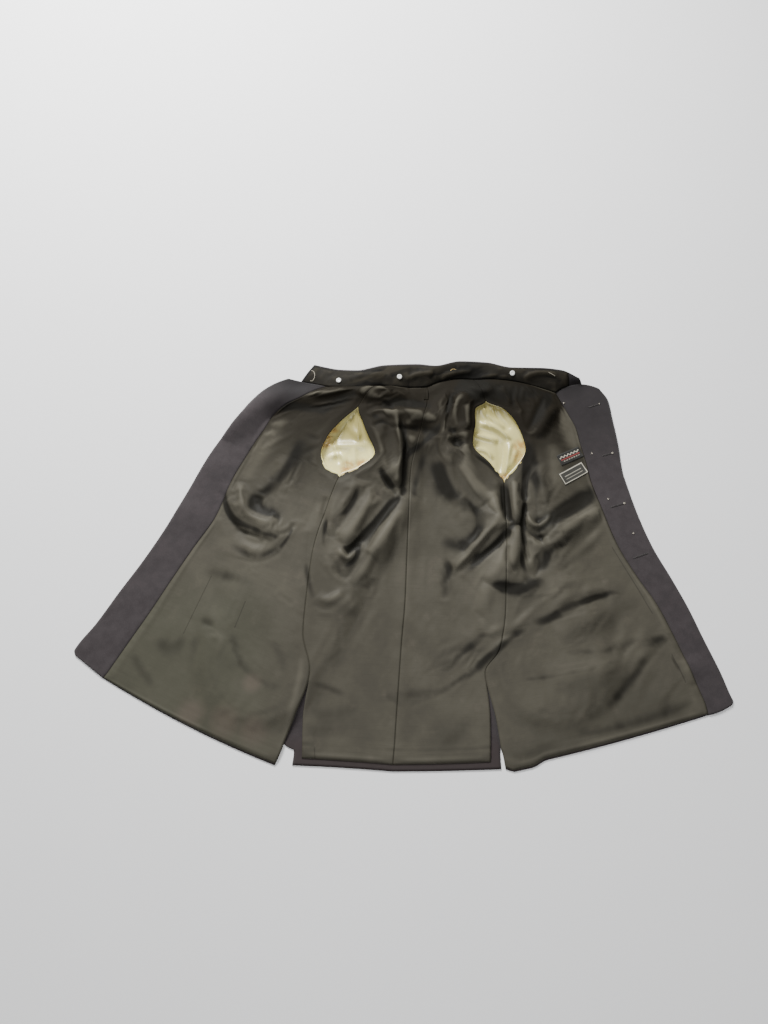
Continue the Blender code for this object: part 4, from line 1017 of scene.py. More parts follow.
def border_distance(points, sides):
    """Distance along the rows and columns of a grid to its named sides."""
    plan = points[..., :2]
    distance = np.full(plan.shape[:2], 1e3)
    for axis, first, last in ((0, "n", "s"), (1, "w", "e")):
        steps = np.linalg.norm(np.diff(plan, axis=axis), axis=-1)
        run = np.insert(np.cumsum(steps, axis=axis), 0, 0, axis=axis)
        if first in sides:
            distance = np.minimum(distance, run)
        if last in sides:
            distance = np.minimum(distance, np.take(run, [-1], axis) - run)
    return distance


def softened(values, times):
    """Grid values averaged with their neighbours, over and over."""
    for _ in range(times):
        wide = np.pad(values, 1, mode="edge")
        around = wide[:-2, 1:-1] + wide[2:, 1:-1] + wide[1:-1, :-2] + wide[1:-1, 2:]
        values = (4 * values + around) / 8
    return values


def relief(height, times, depth):
    """How far a surface lies over its softened form, as a share of a depth, -1 to 1."""
    return np.clip((height - softened(height, times)) / depth, -1, 1)


def grid_mesh(name, points, uv=None, wrap=False, fold=None, crisp=()):
    """Mesh of a grid of points, rows going down and columns to the right, facing up.
    Crisp columns of faces are shaded flat, so that the next ones keep their own shade."""
    rows, columns, _ = points.shape
    index = np.arange(rows * columns).reshape(rows, columns)
    if wrap:
        index = np.concatenate([index, index[:, :1]], axis=1)
    quads = np.stack([index[:-1, :-1], index[1:, :-1], index[1:, 1:], index[:-1, 1:]], axis=-1)
    mesh = bpy.data.meshes.new(name)
    mesh.from_pydata((points.reshape(-1, 3) * MM).tolist(), [], quads.reshape(-1, 4).tolist())
    if uv is not None:
        layer = mesh.uv_layers.new(name="Cloth")
        layer.data.foreach_set("uv", (uv.reshape(-1, 2)[quads.ravel()] * MM).ravel())
    # painted light of the folds, kept as a point attribute of the mesh
    if fold is not None:
        layer = mesh.attributes.new("Fold", "FLOAT", "POINT")
        layer.data.foreach_set("value", fold.ravel())
    rounded = np.ones(quads.shape[:2], bool)
    rounded[:, list(crisp)] = False
    mesh.polygons.foreach_set("use_smooth", rounded.ravel())
    mesh.update()
    return mesh


def add_piece(name, mesh, finish):
    """Link a finished mesh at the origin, and let it ride with the jacket."""
    piece = bpy.data.objects.new(name, mesh)
    bpy.context.scene.collection.objects.link(piece)
    mesh.materials.clear()
    mesh.materials.append(finish.material)
    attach(piece, "root")
    return piece


def add_wall(piece, thickness):
    """Give a piece its thickness, upward from its surface."""
    wall = piece.modifiers.new("Wall", "SOLIDIFY")
    wall.thickness = thickness * MM
    wall.offset = 1
    wall.use_rim = True


class Wire:
    """A socket of a material. Arithmetic on it adds Math nodes to the material."""

    def __init__(self, finish, socket):
        self.finish = finish
        self.socket = socket

    def math(self, operation, *others):
        return self.finish.wire("ShaderNodeMath", {"operation": operation}, [self, *others])

    def __add__(self, other):
        return self.math("ADD", other)

    __radd__ = __add__

    def __mul__(self, other):
        return self.math("MULTIPLY", other)

    __rmul__ = __mul__

    def __sub__(self, other):
        return self.math("SUBTRACT", other)

    def __rsub__(self, other):
        return self.finish.wire("ShaderNodeMath", {"operation": "SUBTRACT"}, [other, self])

    def __neg__(self):
        return self * -1

    def larger(self, other):
        return self.math("MAXIMUM", other)

    def smaller(self, other):
        return self.math("MINIMUM", other)

    def size(self):
        return self.math("ABSOLUTE")

    def root(self):
        return self.math("SQRT")

    def ease(self, low, high):
        """Smooth step of this value from low to high."""
        return self.finish.wire("ShaderNodeMapRange", {"interpolation_type": "SMOOTHSTEP"},
                                {"Value": self, "From Min": low, "From Max": high}, "Result")

    def line(self, near, far):
        """1 where this value is about nought, fading out from near to far."""
        return 1 - self.size().ease(near, far)

    def within(self, limit):
        """1 where this value's size is under a limit, and 0 elsewhere."""
        return self.size().math("LESS_THAN", limit)


SHADER_SOCKETS = {
    "colour": "Base Color",
    "roughness": "Roughness",
    "normal": "Normal",
    "sheen": "Sheen Weight",
    "sheen_rough": "Sheen Roughness",
    "coat": "Coat Weight",
    "metallic": "Metallic",
    "specular": "Specular IOR Level",
}


class Finish:
    """One material, written as expressions that end in its Principled shader."""

    def __init__(self, name, roughness, slot):
        self.slot = slot
        self.material = bpy.data.materials.new(name)
        self.material.use_nodes = True
        self.tree = self.material.node_tree
        self.shader = self.tree.nodes["Principled BSDF"]
        self.shader.inputs["Roughness"].default_value = roughness
        coordinates = self.tree.nodes.new("ShaderNodeTexCoord")
        self.place = Wire(self, coordinates.outputs["Object"])
        self.x, self.y = self.millimetres(self.place)

    def node(self, kind, settings, inputs):
        """Make a node, set its settings, then give its sockets values or links."""
        node = self.tree.nodes.new(kind)
        for name, value in settings.items():
            setattr(node, name, value)
        pairs = inputs.items() if isinstance(inputs, dict) else enumerate(inputs)
        for key, value in pairs:
            if isinstance(value, Wire):
                self.tree.links.new(value.socket, node.inputs[key])
            else:
                node.inputs[key].default_value = value
        return node

    def wire(self, kind, settings, inputs, output=0):
        """One output of a new node."""
        return Wire(self, self.node(kind, settings, inputs).outputs[output])

    def millimetres(self, vector):
        """First two parts of a vector in metres, as millimetres."""
        parts = self.node("ShaderNodeSeparateXYZ", {}, {"Vector": vector})
        return Wire(self, parts.outputs["X"]) * 1000, Wire(self, parts.outputs["Y"]) * 1000

    def cloth_uv(self):
        """Cloth coordinates, and the same in millimetres across and down the panel."""
        uv = self.wire("ShaderNodeUVMap", {"uv_map": "Cloth"}, {})
        return uv, *self.millimetres(uv)

    def noise(self, scale, detail=2.0, rough=0.5, stretch=(1, 1, 1), turn=0.0, vector=None):
        """Noise with scale waves a metre, stretched and turned about Z."""
        spot = self.wire("ShaderNodeMapping", {}, {
            "Vector": vector or self.place,
            "Rotation": (0, 0, math.radians(turn)),
            "Scale": stretch,
        })
        return self.wire("ShaderNodeTexNoise", {}, {
            "Vector": spot, "Scale": scale, "Detail": detail, "Roughness": rough,
        }, "Fac")

    def mix(self, factor, first, second):
        """Colour mix of two colours or links."""
        node = self.node("ShaderNodeMix", {"data_type": "RGBA"}, {"Factor": factor})
        inputs = [s for s in node.inputs if s.type == "RGBA"]
        for socket, value in zip(inputs, (first, second)):
            if isinstance(value, Wire):
                self.tree.links.new(value.socket, socket)
            else:
                socket.default_value = (*value, 1)
        return Wire(self, next(s for s in node.outputs if s.type == "RGBA"))

    def spot(self, x, y, radius, soft):
        """1 within a radius of a point in plan, fading out over a share of it."""
        dx = self.x - x
        dy = self.y - y
        return 1 - (dx * dx + dy * dy).root().ease(radius * (1 - soft), radius)

    def line_distance(self, x1, y1, x2, y2):
        """Distance in plan from a straight line between two points."""
        length = math.hypot(x2 - x1, y2 - y1)
        ux, uy = (x2 - x1) / length, (y2 - y1) / length
        dx = self.x - x1
        dy = self.y - y1
        along = (dx * ux + dy * uy).larger(0.0).smaller(length)
        ox = dx - along * ux
        oy = dy - along * uy
        return (ox * ox + oy * oy).root()

    def fold(self):
        """Painted sheen of the piece, from -1 darkest to 1 palest."""
        return self.wire("ShaderNodeAttribute", {"attribute_name": "Fold"}, {}, "Fac")

    def bump(self, height, distance, strength=1.0, normal=None):
        """Bump of a height, over another bump where one is given."""
        inputs = {"Height": height, "Distance": distance, "Strength": strength}
        if normal is not None:
            inputs["Normal"] = normal
        return self.wire("ShaderNodeBump", {}, inputs)

    def surface(self, **values):
        """Give the shader its values or wires, by the names in SHADER_SOCKETS."""
        for name, value in values.items():
            socket = self.shader.inputs[SHADER_SOCKETS[name]]
            if isinstance(value, Wire):
                self.tree.links.new(value.socket, socket)
            else:
                socket.default_value = value


class JacketSizes(bpy.types.PropertyGroup):
    """Sizes of the cloth that the pieces are built with."""

    wool: bpy.props.FloatProperty(
        name="Outer cloth", description="Thickness of the outer cloth",
        default=0.0016, min=0.0005, max=0.004, unit="LENGTH")
    seam_gap: bpy.props.FloatProperty(
        name="Seam gap", description="Clear space between two layers",
        default=0.0003, min=0.0, max=0.001, unit="LENGTH")
    front_turn: bpy.props.FloatProperty(
        name="Front hem turn", description="Outer cloth that shows below the front linings",
        default=0.003, min=0.0, max=0.03, unit="LENGTH")
    back_turn: bpy.props.FloatProperty(
        name="Back hem turn", description="Outer cloth that shows below the back lining",
        default=0.013, min=0.0, max=0.03, unit="LENGTH")
    cell: bpy.props.FloatProperty(
        name="Lining cell", description="Size of one grid cell of the lining",
        default=0.0032, min=0.002, max=0.02, unit="LENGTH")
    wool_cell: bpy.props.FloatProperty(
        name="Outer cell", description="Size of one grid cell of the outer cloth",
        default=0.0055, min=0.003, max=0.03, unit="LENGTH")
    stud: bpy.props.FloatProperty(
        name="Stud", description="Diameter of a collar stud",
        default=0.0105, min=0.005, max=0.02, unit="LENGTH")


class JacketColours(bpy.types.PropertyGroup):
    """Colours of the cloth and the fastenings."""

    wool: bpy.props.FloatVectorProperty(
        name="Outer cloth", description="Navy wool", subtype="COLOR",
        default=(0.036, 0.030, 0.031), min=0, max=1)
    lining: bpy.props.FloatVectorProperty(
        name="Body lining", description="Olive grey satin", subtype="COLOR",
        default=(0.065, 0.060, 0.046), min=0, max=1)
    sleeve_lining: bpy.props.FloatVectorProperty(
        name="Sleeve lining", description="Ivory satin", subtype="COLOR",
        default=(0.84, 0.775, 0.34), min=0, max=1)
    stain: bpy.props.FloatVectorProperty(
        name="Stain", description="Tan stains on the ivory satin", subtype="COLOR",
        default=(0.50, 0.26, 0.07), min=0, max=1)
    collar_lining: bpy.props.FloatVectorProperty(
        name="Collar lining", description="Very dark olive cloth", subtype="COLOR",
        default=(0.010, 0.0085, 0.0055), min=0, max=1)
    thread: bpy.props.FloatVectorProperty(
        name="Pale thread", description="Pale sewing thread", subtype="COLOR",
        default=(0.55, 0.50, 0.40), min=0, max=1)
    stud: bpy.props.FloatVectorProperty(
        name="Stud", description="White collar studs", subtype="COLOR",
        default=(0.74, 0.74, 0.70), min=0, max=1)
    brass: bpy.props.FloatVectorProperty(
        name="Brass", description="Buttons and hook", subtype="COLOR",
        default=(0.60, 0.45, 0.22), min=0, max=1)
    floor: bpy.props.FloatVectorProperty(
        name="Floor", description="Pale floor", subtype="COLOR",
        default=(0.95, 0.95, 0.95), min=0, max=1)


def sizes():
    """Sizes set in the scene."""
    return bpy.context.scene.jacket_sizes


def colours():
    """Colours set in the scene."""
    return bpy.context.scene.jacket_colours


def tinted(colour, *factors):
    """A colour times one factor, or times one each for its red, green and blue."""
    if len(factors) == 1:
        factors = factors * 3
    return tuple(c * f for c, f in zip(colour, factors))


def largest(wires):
    """The largest of several wires."""
    return functools.reduce(Wire.larger, wires)


@functools.lru_cache(maxsize=None)
def wool_finish():
    """Milled wool: fine felted grain, a few paler fibres, and painted shade toward the neck."""
    finish = Finish("Navy wool", 0.92, "outer_wool")
    base = colours().wool
    grain = finish.noise(900, 3, 0.6)
    cloudy = finish.noise(60, 4, 0.55)
    fibre = finish.noise(620, 2, 0.6, stretch=(1, 0.6, 1), turn=35)
    # painted shade toward the neck and the shoulders, mixed into the colour below
    shade = largest(finish.spot(*place) * strength for *place, strength in PAINTED_WOOL_SHADES)
    hem = 1 - finish.y.ease(-375, -330)
    colour = finish.mix(cloudy.ease(0.3, 0.7), tinted(base, 0.88), tinted(base, 1.12))
    colour = finish.mix(fibre.ease(0.45, 0.75) * 0.25, colour, tinted(base, 1.9))
    colour = finish.mix(shade, colour, tinted(base, 0.22))
    colour = finish.mix(hem * 0.6, colour, tinted(base, 1.0, 0.86, 0.78))
    finish.surface(colour=colour, roughness=0.86 + 0.1 * grain,
                   normal=finish.bump(grain * 0.6 + fibre * 0.4, 0.0004, 0.55),
                   sheen=0.25, sheen_rough=0.5, specular=0.2)
    return finish


@functools.lru_cache(maxsize=None)
def satin_finish():
    """Olive satin: fine twill, uneven dye, faint crush marks and sewn lines, with painted shade toward the
    neck and painted highlights and shade on its folds.
    """
    finish = Finish("Olive satin", 0.45, "satin_lining")
    base = colours().lining
    uv, across, _ = finish.cloth_uv()
    twill = finish.wire("ShaderNodeTexWave", {"wave_type": "BANDS", "bands_direction": "DIAGONAL"}, {
        "Vector": uv, "Scale": 420.0, "Distortion": 0.6, "Detail": 1.0,
    }, "Fac")
    slub = finish.noise(90, 3, 0.6, stretch=(0.25, 6, 1), vector=uv)
    cloudy = finish.noise(9, 4, 0.6)
    dusty = finish.noise(22, 5, 0.62)
    crush = finish.noise(60, 4, 0.6, stretch=(1, 0.5, 1), turn=20)
    fold = finish.fold()
    green = (1 - finish.x.ease(-330, -190)) * (1 - finish.y.ease(-140, 20))
    worn = largest(finish.spot(*place, 0.8) for place in WORN_PATCHES)
    seam = across.line(0.3, 1.3) * (1 - finish.y.ease(-40, 90) * 0.92)
    dart = largest(1 - finish.line_distance(*row).ease(0.3, 1.4) for row in DARTS)
    lines = (seam * 0.4).larger(dart * 0.7)
    # painted shade: the satin darkened toward the neck and over the upper left front; upper also raises
    # the roughness there
    upper = finish.y.ease(40, 330)
    shade = (upper * 0.95 + finish.spot(215, 320, 140, 0.8) * 0.4).smaller(0.97)
    colour = finish.mix(cloudy.ease(0.30, 0.70), tinted(base, 0.86), tinted(base, 1.18))
    colour = finish.mix(dusty.ease(0.56, 0.76) * 0.35, colour, (0.105, 0.092, 0.072))
    colour = finish.mix(slub.ease(0.48, 0.75) * 0.22, colour, tinted(base, 0.6))
    colour = finish.mix(green * 0.35, colour, tinted(base, 0.86, 1.0, 0.88))
    colour = finish.mix(worn * cloudy.ease(0.25, 0.50) * 0.6, colour, (0.104, 0.086, 0.068))
    colour = finish.mix(shade, colour, tinted(base, 0.13, 0.11, 0.08))
    # painted highlight on the folds' pale sides and painted shade in their hollows
    colour = finish.mix(fold.ease(0.05, 0.95) * 0.6, colour, tinted(base, 1.8))
    colour = finish.mix((-fold).ease(0.08, 0.88) * 0.90, colour, tinted(base, 0.12))
    colour = finish.mix(lines * 0.5, colour, (0.012, 0.011, 0.009))
    fine = finish.bump(twill * 0.5 + slub * 0.5, 0.00008, 0.6)
    coarse = finish.bump(crush * 0.7 + dusty * 0.3 - lines * 0.6, 0.0016, 0.35, fine)
    roughness = 0.48 + 0.08 * cloudy + 0.08 * crush + 0.20 * upper
    finish.surface(colour=colour, roughness=roughness, normal=coarse, specular=0.09)
    return finish


@functools.lru_cache(maxsize=None)
def ivory_finish():
    """Ivory satin with tan stains where the sleeve lining is felled at the armhole, and painted shade over
    the upper part of each armhole.
    """
    finish = Finish("Ivory satin", 0.35, "ivory_lining")
    base = colours().sleeve_lining
    cloudy = finish.noise(30, 4, 0.6)
    blotch = finish.noise(75, 4, 0.65)
    weave = finish.noise(1500, 1, 0.5, stretch=(1, 0.2, 1))
    marks = largest(finish.spot(*place, 0.8) for place in IVORY_STAINS)
    stained = marks * (blotch.ease(0.38, 0.60) * 0.6 + 0.4)
    left = finish.x.ease(60, 100)
    crimped = 1 - finish.line_distance(-158, 230, -100, 304).ease(10, 18)
    # painted shade: the ivory darkened in the upper part of each armhole and a little over all of the left
    # one, less on the crimped band
    shaded = (finish.y.ease(212, 240) * 0.85 * (1 - left)).larger(finish.y.ease(262, 300) * 0.8 * left)
    shaded = (shaded * (1 - crimped * 0.6)).larger(left * 0.4)
    colour = finish.mix(cloudy.ease(0.35, 0.7), tinted(base, 0.88), base)
    colour = finish.mix(stained * 0.95, colour, colours().stain)
    colour = finish.mix(shaded, colour, tinted(base, 0.33, 0.30, 0.20))
    finish.surface(colour=colour, roughness=0.24 + 0.12 * cloudy,
                   normal=finish.bump(weave * 0.2 + cloudy * 0.8, 0.0008, 0.4),
                   sheen=0.05, specular=0.55)
    return finish


@functools.lru_cache(maxsize=None)
def collar_finish():
    """Very dark olive collar lining, matt, with paler rubbed patches, and painted highlights and shade on
    its creases.
    """
    finish = Finish("Collar lining cloth", 0.6, "collar_cloth")
    base = colours().collar_lining
    grain = finish.noise(700, 2, 0.6)
    rubbed = finish.noise(45, 4, 0.65, stretch=(0.6, 1.6, 1))
    fold = finish.fold()
    colour = finish.mix(rubbed.ease(0.50, 0.80), base, tinted(base, 2.0))
    colour = finish.mix(grain.ease(0.5, 0.8) * 0.3, colour, tinted(base, 1.8))
    # painted highlight on the creases' pale sides and painted shade in their hollows
    colour = finish.mix(fold.ease(0.05, 0.7) * 0.6, colour, tinted(base, 3.0))
    colour = finish.mix((-fold).ease(0.05, 0.6) * 0.85, colour, tinted(base, 0.2))
    finish.surface(colour=colour, roughness=0.62 + 0.18 * rubbed,
                   normal=finish.bump(grain * 0.3 + rubbed * 0.7, 0.0008, 0.5), specular=0.12)
    return finish


@functools.lru_cache(maxsize=None)
def thread_finish():
    """Twisted pale thread."""
    finish = Finish("Pale thread", 0.7, "label_cloth")
    base = colours().thread
    twist = finish.noise(1400, 2, 0.6)
    finish.surface(colour=finish.mix(twist.ease(0.3, 0.7), tinted(base, 0.7), base),
                   normal=finish.bump(twist, 0.0002, 0.5), sheen=0.1)
    return finish


@functools.lru_cache(maxsize=None)
def buttonhole_finish():
    """Dark buttonhole twist with a little shine."""
    finish = Finish("Buttonhole twist", 0.5, "outer_wool")
    twist = finish.noise(1300, 2, 0.6)
    colour = finish.mix(twist.ease(0.3, 0.7), (0.012, 0.010, 0.010), (0.034, 0.028, 0.025))
    finish.surface(colour=colour, normal=finish.bump(twist, 0.0002, 0.6), sheen=0.1)
    return finish


@functools.lru_cache(maxsize=None)
def stud_finish():
    """White plastic, a little yellowed and scuffed."""
    finish = Finish("White stud", 0.3, "stud_white")
    base = colours().stud
    scuff = finish.noise(900, 3, 0.6)
    finish.surface(colour=finish.mix(scuff.ease(0.5, 0.8), base, tinted(base, 0.95, 0.90, 0.76)),
                   roughness=0.24 + 0.22 * scuff, normal=finish.bump(scuff, 0.0001, 0.4), coat=0.3)
    return finish


@functools.lru_cache(maxsize=None)
def brass_finish():
    """Dull brass with darker tarnish."""
    finish = Finish("Dull brass", 0.4, "brass")
    base = colours().brass
    tarnish = finish.noise(320, 4, 0.6)
    finish.surface(colour=finish.mix(tarnish.ease(0.42, 0.72), base, tinted(base, 0.55, 0.50, 0.42)),
                   roughness=0.30 + 0.30 * tarnish, normal=finish.bump(tarnish, 0.0001, 0.4),
                   metallic=1.0)
    return finish


def layer_base():
    """Height of the second layer over the underside of the outer cloth."""
    return (sizes().wool + sizes().seam_gap) / MM


def base_grid(name, last_down, cell, as_lining=False):
    """Rows, plan, cloth coordinates and outer-cloth height of one strip."""
    down = rows_between(0.0, last_down, cell)
    plan, uv = strip_grid(name, down, cell, as_lining)
    return down, plan, uv, cloth_height(plan)


def lining_height(plan, base, distance):
    """Top of the body lining: the outer cloth's form, slack, creases and fine ripples.

    distance is the way in millimetres to an edge that is sewn down flat."""
    fine = 0.35 * ripple(plan, 5, 30, 80, 9) + 0.06 * ripple(plan, 9, 9, 22, 9)
    armhole = smoothstep((armhole_distance(plan) - 2) / 14)
    raised = LINING_SLACK + loft(plan) + crease_field(plan, CREASES) + fine
    loose = SLACK_LEAST + SLACK_ROUND * np.logaddexp(0, (raised - SLACK_LEAST) / SLACK_ROUND)
    loose = loose * smoothstep(distance / SEWN_REACH) * (0.2 + 0.8 * armhole)
    top = base + layer_base() + SEWN_HEIGHT + loose
    over = np.maximum(top - HIGH_START, 0)
    return np.minimum(top, HIGH_START) + HIGH_ROOM * np.tanh(over / HIGH_ROOM)


def loft(plan):
    """Looseness of the lining: the cube root of summed cubes of bell-shaped mounds."""
    total = np.zeros(plan.shape[:-1])
    for mound in named(LOFTS, LOFT_COLUMNS):
        across = (plan[..., 0] - mound["x"]) / mound["reach_x"]
        down = (plan[..., 1] - mound["y"]) / mound["reach_y"]
        total += (mound["height"] * np.exp(-across ** 2 - down ** 2)) ** 3
    return np.cbrt(total)


def hang_over(solid, part, down):
    """Push a lining's border over the armhole, most at the armhole's middle."""
    reach, rise = OVERHANGS[part]
    border = SIDE_SEAMS[part]
    seam = border_distance(solid, border)
    middle = np.clip((down - ARMHOLE_TOP) / (ARMHOLE_BOTTOM - ARMHOLE_TOP), 0, 1)
    swell = np.sin(math.pi * middle) ** 0.7 * (1 - 0.8 * smoothstep((middle - OVERHANG_END) / 0.25))
    swell = swell[:, None]
    across = np.gradient(solid[..., :2], axis=1)
    across /= np.linalg.norm(across, axis=-1, keepdims=True)
    outward = across if border == "e" else -across
    solid[..., :2] += outward * (reach * swell * bell(seam, OVERHANG_WIDTH))[..., None]
    solid[..., 2] += rise * swell * (bell(seam, OVERHANG_RISE_WIDTH) - 0.5 * bell(seam, OVERHANG_ROLL))
    return solid


def between_rows(values, old_down, old_share, down, share):
    """Grid values read off at other rows and columns, along straight lines."""
    rows = np.interp(down, old_down, np.arange(len(old_down)))
    columns = np.interp(share, old_share, np.arange(len(old_share)))
    r = np.minimum(rows.astype(int), len(old_down) - 2)
    c = np.minimum(columns.astype(int), len(old_share) - 2)
    part_r = (rows - r)[:, None, None]
    part_c = (columns - c)[None, :, None]
    upper = values[r][:, c] * (1 - part_c) + values[r][:, c + 1] * part_c
    lower = values[r + 1][:, c] * (1 - part_c) + values[r + 1][:, c + 1] * part_c
    return upper * (1 - part_r) + lower * part_r


def settled(points, under, free):
    """Lining let go on the outer cloth, with Blender's cloth simulation.

    under is the height of the outer cloth's top, and free is False where the
    lining is sewn down. Where it is loft, the lining is a little longer than its
    place, so that it gathers into folds."""
    scene = bpy.context.scene
    cloth = bpy.data.objects.new("settling", grid_mesh("settling", points))
    bed = bpy.data.objects.new("bed", grid_mesh("bed", lifted(points[..., :2], under)))
    for piece in (cloth, bed):
        scene.collection.objects.link(piece)
    sewn = cloth.vertex_groups.new(name="Sewn")
    sewn.add(np.flatnonzero(~free.ravel()).tolist(), 1.0, "REPLACE")
    loose = cloth.vertex_groups.new(name="Loose")
    steps = np.round(10 * np.clip(loft(points) / SETTLE_FULL_LOFT, 0, 1)).ravel()
    for step in range(1, 11):
        loose.add(np.flatnonzero(steps == step).tolist(), step / 10, "REPLACE")
    bed.modifiers.new("Collision", "COLLISION")
    bed.collision.thickness_outer = 0.001
    bed.collision.cloth_friction = 20
    cloth.modifiers.new("Cloth", "CLOTH")
    rules = cloth.modifiers["Cloth"]
    for name, value in SETTLE_RULES.items():
        setattr(rules.settings, name, value)
    rules.settings.vertex_group_mass = "Sewn"
    rules.settings.vertex_group_shrink = "Loose"
    rules.settings.shrink_min = 0
    rules.settings.shrink_max = -SETTLE_GROWTH
    rules.collision_settings.distance_min = 0.001
    rules.point_cache.frame_start = 1
    rules.point_cache.frame_end = SETTLE_FRAMES
    for frame_number in range(1, SETTLE_FRAMES + 1):
        scene.frame_set(frame_number)
    result = cloth.evaluated_get(bpy.context.evaluated_depsgraph_get()).data
    places = np.empty(len(result.vertices) * 3)
    result.vertices.foreach_get("co", places)
    for piece in (cloth, bed):
        bpy.data.objects.remove(piece)
    scene.frame_set(1)
    return places.reshape(points.shape) / MM


def lining_end(part):
    """Share of the length where a part of the lining ends above the hem."""
    turn = sizes().back_turn if part.startswith("back") else sizes().front_turn
    return 1 - turn / MM / BODY_LENGTH


class JACKET_OT_stage(bpy.types.Operator):
    """Pale floor, soft studio lights and the camera over the hem"""

    bl_idname = "jacket.stage"
    bl_label = "Stage"

    def execute(self, context):
        floor = Finish("Floor paper", 0.9, None)
        tone = floor.noise(3, 2, 0.5)
        pale = colours().floor
        floor.surface(colour=floor.mix(tone.ease(0.2, 0.8), pale, tinted(pale, 0.985)))
        far = FLOOR_SIZE / 2
        corners = np.array([[(x, y, FLOOR_HEIGHT) for x in (-far, far)] for y in (far, -far)])
        plane = bpy.data.objects.new("floor", grid_mesh("floor", corners))
        plane.data.materials.append(floor.material)
        context.scene.collection.objects.link(plane)

        for name, place, target, size, energy in LIGHTS:
            data = bpy.data.lights.new(name, "AREA")
            data.shape = "SQUARE"
            data.size = size
            data.energy = energy
            light = bpy.data.objects.new(name, data)
            light.location = place
            light.rotation_euler = (Vector(target) - Vector(place)).to_track_quat("-Z", "Y").to_euler()
            context.scene.collection.objects.link(light)

        world = bpy.data.worlds.new("Studio")
        world.use_nodes = True
        sky = world.node_tree.nodes["Background"].inputs
        sky["Color"].default_value = (0.93, 0.95, 1.0, 1)
        sky["Strength"].default_value = 0.14
        context.scene.world = world

        camera_data = bpy.data.cameras.new("camera")
        camera_data.lens = LENS
        camera_data.sensor_width = 36
        camera = bpy.data.objects.new("camera", camera_data)
        camera.location = [MM * value for value in CAMERA_PLACE]
        camera.rotation_euler = (math.radians(90 - CAMERA_TILT), 0, 0)
        context.scene.collection.objects.link(camera)
        context.scene.camera = camera
        return {"FINISHED"}


class JACKET_OT_outer_cloth(bpy.types.Operator):
    """Outer wool of the back and both fronts, as thin walls"""

    bl_idname = "jacket.outer_cloth"
    bl_label = "Outer cloth"

    def execute(self, context):
        cell = sizes().wool_cell / MM
        groups = (
            ("outer_right_front", "right_front", ("right_facing", "right_front"), (0.40, 0.80), 0.222),
            ("outer_back", "back", ("back_right", "back_left"), (0.41, 0.79), 0.251),
            ("outer_left_front", "left_front", ("left_front", "left_facing"), (0.40, 0.80), 0.219),
        )
        for name, node, (first, second), flat, area in groups:
            _, plan, uv, base = base_grid(first, 1.0, cell)
            _, next_plan, next_uv, next_base = base_grid(second, 1.0, cell)
            next_uv = next_uv + (STRIPS[first][2], 0)
            points = np.concatenate([lifted(plan, base), lifted(next_plan, next_base)[:, 1:]], axis=1)
            mesh = grid_mesh(name, points, np.concatenate([uv, next_uv[:, 1:]], axis=1))
            piece = add_piece(name, mesh, wool_finish())
            add_wall(piece, sizes().wool / MM)
            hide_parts(node)
        return {"FINISHED"}


class JACKET_OT_facings(bpy.types.Operator):
    """Wool facings along both front edges, with a softly turned outer edge"""

    bl_idname = "jacket.facings"
    bl_label = "Facings"

    def execute(self, context):
        cell = sizes().cell / MM
        for name, node, part, outer, area in (
            ("right_edge_facing", "right_facing", "right_facing", "w", 0.043),
            ("left_edge_facing", "left_facing", "left_facing", "e", 0.049),
        ):
            _, plan, uv, base = base_grid(part, 1.0, cell)
            top = base + layer_base() + sizes().wool / MM
            free = border_distance(plan, "s" + outer)
            inner = border_distance(plan, "w" if outer == "e" else "e")
            wave = FACING_WAVE * ripple(plan, 3, 60, 160, 6)
            top = top + wave * smoothstep(free / 20) * smoothstep(inner / 15)
            top = np.maximum(top, base + layer_base() + FACING_LEAST)
            top = top - FREE_TURN * bell(free, FREE_TURN_WIDTH) - SEAM_TURN * bell(inner, SEAM_TURN_WIDTH)
            points, uv = skirted(lifted(plan, top), uv, FACING_EDGE)
            piece = add_piece(name, grid_mesh(name, points, uv), wool_finish())
            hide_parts(node)
        return {"FINISHED"}


